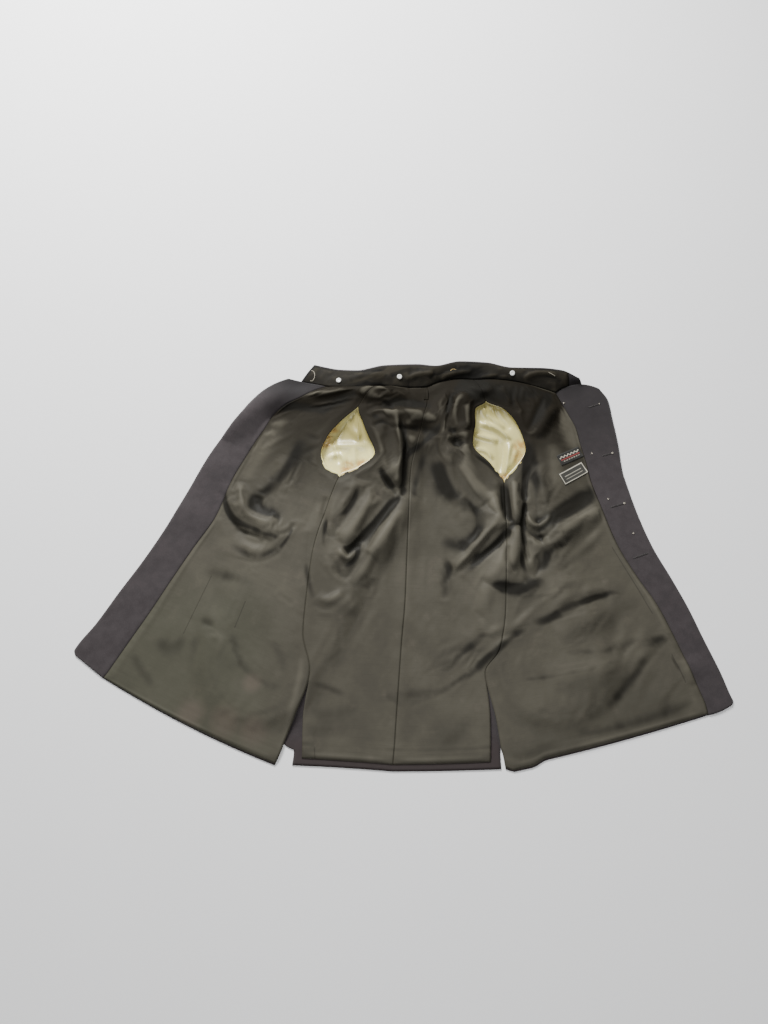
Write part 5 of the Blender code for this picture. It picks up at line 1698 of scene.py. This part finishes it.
class JACKET_OT_body_lining(bpy.types.Operator):
    """Olive satin lining of the back and both fronts, loose over the outer cloth"""

    bl_idname = "jacket.body_lining"
    bl_label = "Body lining"

    @staticmethod
    def lining_shape(part, flat_side, cell):
        """Rows, cloth coordinates, outer cloth height and surface of one part."""
        down, plan, uv, base = base_grid(part, lining_end(part), cell, as_lining=True)
        top = lining_height(plan, base, border_distance(plan, "ns" + flat_side))
        centre = CENTRE_SEAMS.get(part, "")
        for edge, dip_top in ((SIDE_SEAMS[part], SIDE_DIP_TOP), (centre, CENTRE_DIP_TOP)):
            low = 1 - smoothstep((plan[..., 1] - dip_top) / DIP_FADE)
            top = top - SEAM_DIP * low * bell(border_distance(plan, edge), SEAM_DIP_WIDTH)
        hem = border_distance(plan, "s")
        rolls = BACK_ROLLS if part.startswith("back") else FRONT_ROLLS
        for place, width, height in HEM_ROLLS:
            top = top + rolls * height * bell(hem - place, width)
        top = top - HEM_TURN * bell(hem, HEM_TURN_WIDTH)
        if flat_side:
            facing = border_distance(plan, flat_side)
            pucker = ripple(np.stack([uv[..., 1], uv[..., 0] * 0.15], axis=-1), 21, 11, 26, 6)
            top = top + PUCKER * pucker * np.exp(-facing / PUCKER_REACH) * smoothstep(facing / 3)
            uv[..., 0] = facing
        elif part == "back_right":
            uv[..., 0] = uv[:, -1:, 0] - uv[..., 0]
        top = np.maximum(top, base + layer_base() + LEAST_HEIGHT)
        return down, uv, base, hang_over(lifted(plan, top), part, down)

    def execute(self, context):
        cell = sizes().cell / MM
        for name, node, part, flat_side, flat, area in (
            ("right_front_satin", "right_front_lining", "right_front", "w", (0.33, 0.78), 0.175),
            ("left_front_satin", "left_front_lining", "left_front", "e", (0.33, 0.78), 0.167),
            ("back_satin_right", "back_lining_right", "back_right", "", (0.22, 0.78), 0.114),
            ("back_satin_left", "back_lining_left", "back_left", "", (0.22, 0.78), 0.124),
        ):
            seams = SIDE_SEAMS[part] + CENTRE_SEAMS.get(part, "")
            shape = functools.partial(self.lining_shape, part, flat_side)
            down, uv, base, solid = shape(cell)
            coarse_down, _, coarse_base, coarse = shape(SETTLE_CELL)
            free = border_distance(coarse, "nesw") > 0.1
            free &= armhole_distance(coarse[..., :2]) > SETTLE_ARMHOLE
            moved = settled(coarse, coarse_base + layer_base(), free) - coarse
            share = [np.linspace(0, 1, grid.shape[1]) for grid in (coarse, solid)]
            held = smoothstep((border_distance(solid, seams) - 1) / SETTLE_SEAM)[..., None]
            solid += held * between_rows(moved, coarse_down, share[0], down, share[1])
            solid[..., 2] = np.maximum(solid[..., 2], base + layer_base() + LEAST_HEIGHT)
            # painted light of the folds: pale where the lining rises over its softened form, dark where it
            # sinks, plus the painted strokes
            fold = PAINTED_LIGHT_OF_RELIEF * relief(solid[..., 2], RELIEF_TIMES, RELIEF_DEPTH)
            fold *= smoothstep(border_distance(solid, "nesw") / 9)
            fold = np.clip(fold + crease_field(solid[..., :2], PAINTED_FOLD_LIGHT, soft=True), -1, 1)
            points, uv = skirted(solid, uv, LINING_EDGE, 0.0)
            crisp = [0 if side == "w" else -1 for side in seams]
            mesh = grid_mesh(name, points, uv, fold=np.pad(fold, 1, mode="edge"), crisp=crisp)
            piece = add_piece(name, mesh, satin_finish())
            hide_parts(node)
        return {"FINISHED"}


def armhole_ring(side, count):
    """Points round an armhole in plan, and the direction away from it at each of them.

    The ring starts at the top, goes down the -X side and comes back up the +X side."""
    half = count // 2
    share = (1 - np.cos(np.linspace(0, math.pi, half + 1))) / 2
    down = ARMHOLE_TOP + (ARMHOLE_BOTTOM - ARMHOLE_TOP) * share
    faces = ("front", "back") if side == "right" else ("back", "front")
    minus, plus = (line_point(side + "_seam", down, face) for face in faces)
    ring = np.concatenate([minus[:-1], plus[::-1][:-1]])
    ring[0] = (minus[0] + plus[0]) / 2
    ring[half] = (minus[-1] + plus[-1]) / 2
    along = np.roll(ring, -1, axis=0) - np.roll(ring, 1, axis=0)
    along /= np.linalg.norm(along, axis=1, keepdims=True)
    outward = np.stack([along[:, 1], -along[:, 0]], axis=-1)
    facing = np.sign(((ring - ring.mean(axis=0)) * outward).sum(axis=1))
    return ring, outward * (-1 if facing.mean() < 0 else 1)


def sleeve_profile(ring):
    """Place of each ring point in the flat tube: across it, and from low to high."""
    half = len(ring) // 2
    widest = 1 + int(np.argmin(ring[1:half, 0]))
    widest_back = half + 1 + int(np.argmax(ring[half + 1:, 0]))
    across = np.zeros(len(ring))
    across[:widest + 1] = -np.linspace(0, 1, widest + 1)
    across[widest:half + 1] = -np.linspace(1, 0, half - widest + 1)
    across[half:widest_back + 1] = np.linspace(0, 1, widest_back - half + 1)
    across[widest_back:] = np.linspace(1, 0, len(ring) - widest_back + 1)[:-1]
    steps = np.arange(len(ring))
    leaving = smoothstep((steps - widest) / SLEEVE_TURN_STEPS + 0.5)
    coming = smoothstep((widest_back - steps) / SLEEVE_TURN_STEPS + 0.5)
    return np.sign(across) * np.sin(np.abs(across) * math.pi / 2) ** 0.9, leaving * coming


def sleeve_surface(sleeve, count, slides, inset):
    """Rings from the armhole to the cuff: each slides down the sleeve while its low
    half drops to the surface and its high half stays under the body. The first one
    starts inset below the outer cloth, and its high half a wool's thickness more."""
    ring, outward = armhole_ring(sleeve["name"], count)
    across, up = sleeve_profile(ring)
    height = cloth_height(ring)
    low_z = sizes().wool / MM
    high_z = low_z + 2 * SLEEVE_FOLD_RADIUS
    below = inset + low_z * np.minimum(1, 1.6 * up)
    start = lifted(ring + outward * ARMHOLE_OVERLAP, height - below)

    def flat_ring(t):
        place = sleeve_axis(sleeve, [t - 0.01, t, t + 0.01])
        along = (place[2] - place[0]) / np.linalg.norm(place[2] - place[0])
        side = np.array([-along[1], along[0]])
        plan = place[1] + (across * sleeve_half_width(t))[:, None] * side
        return lifted(plan, low_z + (high_z - low_z) * up)

    first_flat = flat_ring(SLEEVE_FIRST_FLAT)
    rings = []
    for slide in slides:
        body = start + (first_flat - start) * slide
        left_low = np.clip(1 - slide / SLEEVE_LOW_DROP, 0, 1) ** 2
        left_high = 1 - smoothstep(slide / SLEEVE_HIGH_DROP)
        bottom = low_z + (start[:, 2] - low_z) * left_low
        top = high_z + (start[:, 2] - high_z) * left_high
        body[:, 2] = bottom + (top - bottom) * up
        rings.append(body)
    for t in np.linspace(SLEEVE_FIRST_FLAT, 1, 40)[1:]:
        rings.append(flat_ring(t))
    return np.array(rings), ring, outward, up, height


class JACKET_OT_sleeves(bpy.types.Operator):
    """Outer wool of the sleeves, pressed flat under the body"""

    bl_idname = "jacket.sleeves"
    bl_label = "Sleeves"

    def execute(self, context):
        for sleeve in named(SLEEVES, SLEEVE_COLUMNS):
            side = sleeve["name"]
            slides = np.linspace(0, 1, 30) ** 1.2
            rings, *_ = sleeve_surface(sleeve, WOOL_RING, slides, WOOL_INSET)
            name = side + "_arm_wool"
            piece = add_piece(name, grid_mesh(name, rings, wrap=True), wool_finish())
            add_wall(piece, sizes().wool / MM)
            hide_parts(side + "_sleeve")
        return {"FINISHED"}


class JACKET_OT_sleeve_linings(bpy.types.Operator):
    """Ivory satin inside the sleeves, felled over the body lining round each armhole"""

    bl_idname = "jacket.sleeve_linings"
    bl_label = "Sleeve linings"

    def execute(self, context):
        angle = np.linspace(0, 2 * math.pi, SATIN_RING, endpoint=False)
        scallop = 0.9 * np.sin(29 * angle + 1.0) + 0.7 * np.sin(13 * angle)
        for sleeve in named(SLEEVES, SLEEVE_COLUMNS):
            side = sleeve["name"]
            slides = np.linspace(0.03, 1, 60) ** 1.3
            rings, ring, outward, up, height = sleeve_surface(sleeve, SATIN_RING, slides, SATIN_INSET)
            rings[..., 2] += 0.9 * (1 - 2 * up)
            random = np.random.default_rng(31 if side == "right" else 32)
            gather = sum(
                random.uniform(0.4, 1.0) * np.sin(waves * angle + random.uniform(0, 2 * math.pi))
                for waves in GATHERS
            ) / 2.2
            low = (ring[:, 1].max() - ring[:, 1]) / np.ptp(ring[:, 1])
            lining_top = height + layer_base() + 2.0 + 1.2 * smoothstep((low - 0.68) / 0.2)
            rim = []
            for reach, rise in SATIN_RIM:
                plan = ring + outward * (reach + 0.5 * scallop * max(reach, 0) / 3)[:, None]
                ripple_up = 0.2 * gather * smoothstep((reach + 3) / 3)
                rim.append(lifted(plan, lining_top + rise + ripple_up))
            row = np.arange(len(rings))[:, None]
            rings[..., 2] += GATHER_HEIGHT * gather * np.exp(-row / GATHER_ROWS) * (1 - up)
            full = FULLNESS + CREASE_TIMES * crease_field(rings[..., :2], SLEEVE_CREASES)
            rings[..., 2] += np.maximum(full, 0) * smoothstep(row / FULLNESS_ROWS) * (1 - up) ** 2
            surface = np.concatenate([np.array(rim), rings], axis=0)
            name = side + "_arm_satin"
            piece = add_piece(name, grid_mesh(name, surface[::-1], wrap=True), ivory_finish())
            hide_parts(side + "_sleeve_lining")
        return {"FINISHED"}


def neck_points():
    """Dense points of the whole neck edge, from the wearer's right end to the left."""
    across = np.linspace(0, 1, 60)
    down = np.array([0.0])
    parts = [strip(name, down, across)[0] for name in STRIPS]
    line = np.concatenate([part[:-1] for part in parts] + [parts[-1][-1:]])
    return line[(line[:, 0] >= COLLAR_START) & (line[:, 0] <= COLLAR_END)]


def collar_grid(columns, rows):
    """Collar between the neck line and its upper edge, with a rounded middle."""
    neck = neck_points()
    run = run_along(neck)
    along = np.linspace(0, 1, columns)
    foot_plan = at_run(neck, run / run[-1], along)
    stations = column(COLLAR, COLLAR_COLUMNS, "along")
    top = np.stack([smooth(stations, column(COLLAR, COLLAR_COLUMNS, name), along)
                    for name in ("top_x", "top_y", "top_z")], axis=-1)
    foot = lifted(foot_plan + (0, 0.5), cloth_height(foot_plan) + 0.2)
    rise = np.linspace(0, 1, rows)
    grid = foot[None] + (top - foot)[None] * rise[:, None, None]
    grid[..., 2] += COLLAR_BULGE * np.sin(math.pi * rise)[:, None]
    return grid[::-1], along, rise[::-1]


class JACKET_OT_collar(bpy.types.Operator):
    """Stand collar: wool outside and dark lining inside, rolled at the wearer's left end"""

    bl_idname = "jacket.collar"
    bl_label = "Collar"

    def execute(self, context):
        grid, along, rise = collar_grid(COLLAR_COLS, COLLAR_ROWS)
        uv = np.stack(np.meshgrid(along * COLLAR_LENGTH, rise * COLLAR_TALL), axis=-1)
        wool = grid_mesh("collar_wool", grid, uv)
        piece = add_piece("collar_wool", wool, wool_finish())
        add_wall(piece, COLLAR_WALL)
        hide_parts("collar")

        last = int(np.searchsorted(along, COLLAR_LINING_END))
        inner = grid[1:, 1:last].copy()
        distance = border_distance(inner, "nwe")
        inner[..., 2] += COLLAR_LINING_LIFT
        creases = crease_field(inner[..., :2], COLLAR_CREASES)
        fine = 0.25 * ripple(inner[..., :2], 12, 14, 50, 8)
        inner[..., 2] += np.maximum(1.2 + creases + fine, 0.2) * smoothstep(distance / 8)
        inner[..., 2] -= 0.6 * bell(distance, 1.2)
        # painted light of the collar lining's creases, from its relief and the painted strokes
        fold = relief(inner[..., 2], 12, 1.0) + crease_field(inner[..., :2], PAINTED_FOLD_LIGHT, soft=True)
        fold = np.pad(np.clip(fold, -1, 1), 1, mode="edge")
        points, inner_uv = skirted(inner, uv[1:, 1:last], 1.2)
        name = "collar_inside"
        piece = add_piece(name, grid_mesh(name, points, inner_uv, fold=fold), collar_finish())
        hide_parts("collar_lining")
        return {"FINISHED"}


def surface_tree(*names):
    """Search tree over finished pieces, as their modifiers leave them."""
    graph = bpy.context.evaluated_depsgraph_get()
    corners = []
    faces = []
    for name in names:
        piece = bpy.data.objects[name].evaluated_get(graph)
        mesh = piece.to_mesh()
        start = len(corners)
        corners.extend(v.co.copy() for v in mesh.vertices)
        faces.extend(tuple(start + i for i in p.vertices) for p in mesh.polygons)
        piece.to_mesh_clear()
    return BVHTree.FromPolygons(corners, faces)


def drop_on(tree, plan):
    """Height in millimetres of the surface under each plan point."""
    flat = np.asarray(plan, float).reshape(-1, 2)
    heights = []
    for x, y in flat:
        hit = tree.ray_cast(Vector((x * MM, y * MM, 1.0)), Vector((0, 0, -1)))
        if hit[0] is None:
            raise RuntimeError("nothing lies under " + str((x, y)))
        heights.append(hit[0].z / MM)
    return np.array(heights).reshape(np.asarray(plan).shape[:-1])


def patch_plan(centre, width, height, turn, cells):
    """Plan of a turned rectangle and its own coordinates in millimetres."""
    across = np.linspace(-width / 2, width / 2, cells[0] + 1)
    down = np.linspace(height / 2, -height / 2, cells[1] + 1)
    local_x, local_y = np.meshgrid(across, down)
    angle = math.radians(turn)
    plan = np.stack([
        centre[0] + local_x * math.cos(angle) - local_y * math.sin(angle),
        centre[1] + local_x * math.sin(angle) + local_y * math.cos(angle),
    ], axis=-1)
    return plan, np.stack([local_x, local_y], axis=-1)


def label_finish(name, width, height, border):
    """Woven label: dark ground, cream border or cream and dull red bands."""
    finish = Finish(name, 0.75, "label_cloth")
    uv, across, up = finish.cloth_uv()
    weave = finish.noise(1600, 2, 0.6, stretch=(1, 3, 1), vector=uv)
    cream = (0.50, 0.47, 0.38)
    depth = 1.0 if border else 0.42
    ground = finish.mix(weave.ease(0.3, 0.7), tinted((0.028, 0.027, 0.022), depth),
                        tinted((0.046, 0.044, 0.036), depth))
    half_width = width / 2
    half_height = height / 2
    if border:
        side_lines = (across.size() - (half_width - 2.0)).line(0.5, 1.0)
        end_lines = (up.size() - (half_height - 2.0)).line(0.5, 1.0)
        inside = across.within(half_width - 1.2) * up.within(half_height - 1.2)
        bars = (up - 2.0).line(0.6, 1.1).larger((up + 4.0).line(0.4, 0.8))
        bars = bars * across.within(half_width - 9)
        colour = finish.mix((side_lines.larger(end_lines) * inside).larger(bars * 0.55), ground, cream)
    else:
        wave = (across * 0.8).math("SINE") * 1.5
        dash = (across * 1.1).math("SINE").math("GREATER_THAN", -0.4)
        top_bar = (up - 4.2 + wave).line(0.7, 1.4) * across.within(half_width - 3)
        red_bar = (up + 0.9).line(1.1, 1.7) * across.within(half_width - 4)
        low_bar = (up + 4.8).line(0.4, 0.9) * dash * across.within(half_width - 6)
        colour = finish.mix(top_bar.larger(low_bar * 0.8), ground, cream)
        colour = finish.mix(red_bar, colour, (0.20, 0.035, 0.03))
    finish.surface(colour=colour, normal=finish.bump(weave, 0.0002, 0.6))
    return finish


class JACKET_OT_labels(bpy.types.Operator):
    """Two woven labels on the lining of the wearer's left front"""

    bl_idname = "jacket.labels"
    bl_label = "Labels"

    def execute(self, context):
        tree = surface_tree("left_front_satin")
        for label in named(LABELS, LABEL_COLUMNS):
            plan, local = patch_plan((label["x"], label["y"]), label["width"], label["height"],
                                     label["turn"], (30, 12))
            height = drop_on(tree, plan)
            around = height[:-2, 1:-1] + height[2:, 1:-1] + height[1:-1, :-2] + height[1:-1, 2:]
            soft = height.copy()
            soft[1:-1, 1:-1] = np.maximum((around + height[1:-1, 1:-1]) / 5, height[1:-1, 1:-1])
            points, uv = skirted(lifted(plan, soft + 0.8), local, 0.9, 0.2)
            finish = label_finish("Woven " + label["name"], label["width"], label["height"],
                                  label["name"] == "label_lower")
            name = label["name"] + "_woven"
            piece = add_piece(name, grid_mesh(name, points, uv), finish)
            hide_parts(label["name"])
            label["width"] * MM + 0.001
            label["height"] * MM + 0.001
            label["width"] * label["height"] * MM * MM
        return {"FINISHED"}


class JACKET_OT_hanger(bpy.types.Operator):
    """Narrow satin loop below the collar at the centre back"""

    bl_idname = "jacket.hanger"
    bl_label = "Hanger loop"

    def execute(self, context):
        tree = surface_tree("back_satin_right", "back_satin_left", "collar_inside", "collar_wool")
        plan, local = patch_plan(HANGER_PLACE, HANGER_WIDTH, HANGER_LENGTH, 0, (8, 24))
        share = (local[..., 1] / HANGER_LENGTH) + 0.5
        arch = 1.6 * np.sin(math.pi * np.clip(share, 0, 1))
        height = drop_on(tree, plan).max(axis=1, keepdims=True) + 0.5 + arch
        edge = 0.5 * bell(np.abs(local[..., 0]) - HANGER_WIDTH / 2 + 1.2, 0.8)
        points, uv = skirted(lifted(plan, height + edge), local, 0.8, 0.2)
        mesh = grid_mesh("hanger_satin", points, uv + (40, 0))
        piece = add_piece("hanger_satin", mesh, satin_finish())
        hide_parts("hanger_loop")
        return {"FINISHED"}


def turned(profile, around):
    """Points of a profile of radius and height turned about its axis."""
    angle = np.linspace(0, 2 * math.pi, around, endpoint=False)
    radius = profile[:, 0][:, None]
    return np.stack([radius * np.cos(angle), radius * np.sin(angle),
                     np.broadcast_to(profile[:, 1][:, None], (len(profile), around))], axis=-1)


def tube_points(path, radius, around, closed=False):
    """Ring of points round each point of a path, square to its direction in plan."""
    path = np.asarray(path, float)
    if closed:
        along = np.roll(path, -1, axis=0) - np.roll(path, 1, axis=0)
    else:
        along = np.gradient(path, axis=0)
    along /= np.maximum(np.linalg.norm(along, axis=1, keepdims=True), 1e-9)
    side = np.cross(along, (0, 0, 1.0))
    side /= np.maximum(np.linalg.norm(side, axis=1, keepdims=True), 1e-9)
    up = np.cross(side, along)
    angle = np.linspace(0, 2 * math.pi, around, endpoint=False)
    radius = np.broadcast_to(np.asarray(radius, float), (len(path),))[:, None, None]
    return (path[:, None] + radius * (np.cos(angle)[None, :, None] * side[:, None]
                                      + np.sin(angle)[None, :, None] * up[:, None]))


def joined_grids(name, grids, loop=False):
    """One mesh from several closed tubes; loop joins each tube's last ring to its first."""
    corners = []
    faces = []
    start = 0
    for grid in grids:
        rows, around, _ = grid.shape
        index = np.arange(rows * around).reshape(rows, around) + start
        index = np.concatenate([index, index[:, :1]], axis=1)
        if loop:
            index = np.concatenate([index, index[:1]], axis=0)
        quads = np.stack([index[:-1, :-1], index[:-1, 1:], index[1:, 1:], index[1:, :-1]], axis=-1)
        faces.extend(quads.reshape(-1, 4).tolist())
        if not loop:
            faces.append(index[0, :-1][::-1].tolist())
            faces.append(index[-1, :-1].tolist())
        corners.append(grid.reshape(-1, 3))
        start += rows * around
    mesh = bpy.data.meshes.new(name)
    mesh.from_pydata((np.concatenate(corners) * MM).tolist(), [], faces)
    mesh.shade_smooth()
    mesh.update()
    return mesh


class JACKET_OT_fastenings(bpy.types.Operator):
    """White studs, and brass for the hook and the hidden buttons"""

    bl_idname = "jacket.fastenings"
    bl_label = "Fastenings"

    def execute(self, context):
        tree = surface_tree("collar_inside")
        radius = sizes().stud / MM / 2
        profile = [(radius * share, height) for share, height in STUD_PROFILE]
        shape = turned(np.array(profile + [STUD_MIDDLE]), 32)
        for index, place in enumerate(STUDS, start=1):
            around = np.array(place) + radius * np.array([(1, 0), (-1, 0), (0, 1), (0, -1), (0, 0)])
            height = drop_on(tree, around)
            slope_x = (height[0] - height[1]) / (2 * radius)
            slope_y = (height[2] - height[3]) / (2 * radius)
            points = shape.copy()
            points[..., 2] += height.max() * 0.5 + height.mean() * 0.5 + 0.6
            points[..., 2] += slope_x * points[..., 0] + slope_y * points[..., 1]
            points[..., :2] += place
            name = "stud_" + str(index)
            piece = add_piece(name, grid_mesh(name, points, wrap=True), stud_finish())
            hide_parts("collar_stud_" + str(index))
        for node in ("collar_hook", "button_1", "button_2", "button_3", "button_4"):
            for material_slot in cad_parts[node].material_slots:
                material_slot.material = brass_finish().material
        return {"FINISHED"}


class JACKET_OT_buttonholes(bpy.types.Operator):
    """Four worked buttonholes, three with a pale eye at the outer end, and thread ends"""

    bl_idname = "jacket.buttonholes"
    bl_label = "Buttonholes"

    def execute(self, context):
        tree = surface_tree("left_edge_facing")
        worked = []
        eyes = []
        for x1, y1, x2, y2, eye in BUTTONHOLES:
            inner = np.array([x1, y1], float)
            outer = np.array([x2, y2], float)
            along = (outer - inner) / np.linalg.norm(outer - inner)
            side = np.array([-along[1], along[0]])
            reach = np.linalg.norm(outer - inner)
            t = np.linspace(0, 1, 100, endpoint=False)
            sweep = reach / 2 * (1 - np.cos(2 * math.pi * t))
            width = np.sin(2 * math.pi * t) * (0.7 + 0.9 * bell(sweep - reach + 1.6, 2.2))
            plan = inner + sweep[:, None] * along + width[:, None] * side
            path = lifted(plan, drop_on(tree, plan) + 0.25)
            stitch = 0.62 + 0.12 * np.sin(2 * math.pi * BUTTONHOLE_WAVES * t)
            worked.append(tube_points(path, stitch, 8, closed=True))
            if eye:
                angle = np.linspace(0, 2 * math.pi, 20, endpoint=False)[:, None]
                ring = outer - 1.8 * along + eye * (np.cos(angle) * along + np.sin(angle) * side)
                path = lifted(ring, drop_on(tree, ring) + 0.7)
                eyes.append(tube_points(path, 0.4 * eye, 8, closed=True))
        mesh = joined_grids("buttonholes", worked, loop=True)
        add_piece("buttonholes", mesh, buttonhole_finish())
        mesh = joined_grids("buttonhole_eyes", eyes, loop=True)
        add_piece("buttonhole_eyes", mesh, thread_finish())

        tree = surface_tree("left_edge_facing", "left_front_satin")
        ends = []
        random = np.random.default_rng(4)
        for place in THREAD_ENDS:
            turn = random.uniform(0, 2 * math.pi)
            t = np.linspace(0, 1, 14)
            curl = np.stack([3.2 * (t - 0.5), 1.6 * np.sin(2.6 * math.pi * t)], axis=-1)
            plan = np.array(place) + curl @ np.array([[math.cos(turn), math.sin(turn)],
                                                      [-math.sin(turn), math.cos(turn)]])
            path = lifted(plan, drop_on(tree, plan) + 0.5 + 0.5 * np.sin(math.pi * t))
            ends.append(tube_points(path, 0.38, 6))
        add_piece("thread_ends", joined_grids("thread_ends", ends), thread_finish())
        return {"FINISHED"}


class JACKET_OT_collar_stitching(bpy.types.Operator):
    """Pale oval at the collar's right end and a short pale bar near its left end"""

    bl_idname = "jacket.collar_stitching"
    bl_label = "Collar stitching"

    def execute(self, context):
        tree = surface_tree("collar_inside", "collar_wool")
        angle = np.linspace(OVAL_TURN[0] * math.pi, OVAL_TURN[1] * math.pi, 60)
        plan = np.stack([np.cos(angle), np.sin(angle)], axis=-1) * OVAL_RADII + OVAL_PLACE
        path = lifted(plan, drop_on(tree, plan) + 0.3)
        stitch = 0.42 + 0.12 * np.sin(np.arange(60) * math.pi / 2)
        bar_t = np.linspace(0, 1, 20)
        bar_plan = np.stack([13 * bar_t, -5 * bar_t - 1.5 * bar_t ** 2], axis=-1) + BAR_START
        bar = lifted(bar_plan, drop_on(tree, bar_plan) + 0.3)
        mesh = joined_grids("collar_thread", [tube_points(path, stitch, 8), tube_points(bar, 0.45, 8)])
        add_piece("collar_thread", mesh, thread_finish())
        return {"FINISHED"}


OPERATORS = (
    JACKET_OT_stage,
    JACKET_OT_outer_cloth,
    JACKET_OT_facings,
    JACKET_OT_body_lining,
    JACKET_OT_sleeves,
    JACKET_OT_sleeve_linings,
    JACKET_OT_collar,
    JACKET_OT_labels,
    JACKET_OT_hanger,
    JACKET_OT_fastenings,
    JACKET_OT_buttonholes,
    JACKET_OT_collar_stitching,
)


class JACKET_PT_panel(bpy.types.Panel):
    """Sizes, colours and pieces of the jacket"""

    bl_label = "Patrol jacket"
    bl_idname = "JACKET_PT_panel"
    bl_space_type = "VIEW_3D"
    bl_region_type = "UI"
    bl_category = "Jacket"

    def draw(self, context):
        layout = self.layout
        for group in (context.scene.jacket_sizes, context.scene.jacket_colours):
            for name in group.__annotations__:
                layout.prop(group, name)
        for operator in OPERATORS:
            layout.operator(operator.bl_idname)


CLASSES = (JacketSizes, JacketColours, *OPERATORS, JACKET_PT_panel)


def register():
    for cls in CLASSES:
        bpy.utils.register_class(cls)
    bpy.types.Scene.jacket_sizes = bpy.props.PointerProperty(type=JacketSizes)
    bpy.types.Scene.jacket_colours = bpy.props.PointerProperty(type=JacketColours)


def unregister():
    del bpy.types.Scene.jacket_colours
    del bpy.types.Scene.jacket_sizes
    for cls in reversed(CLASSES):
        bpy.utils.unregister_class(cls)


def main():
    register()
    bpy.ops.jacket.stage()
    bpy.ops.jacket.outer_cloth()
    bpy.ops.jacket.facings()
    bpy.ops.jacket.body_lining()
    bpy.ops.jacket.sleeves()
    bpy.ops.jacket.sleeve_linings()
    bpy.ops.jacket.collar()
    bpy.ops.jacket.labels()
    bpy.ops.jacket.hanger()
    bpy.ops.jacket.fastenings()
    bpy.ops.jacket.buttonholes()
    bpy.ops.jacket.collar_stitching()


if __name__ == "__main__":
    main()
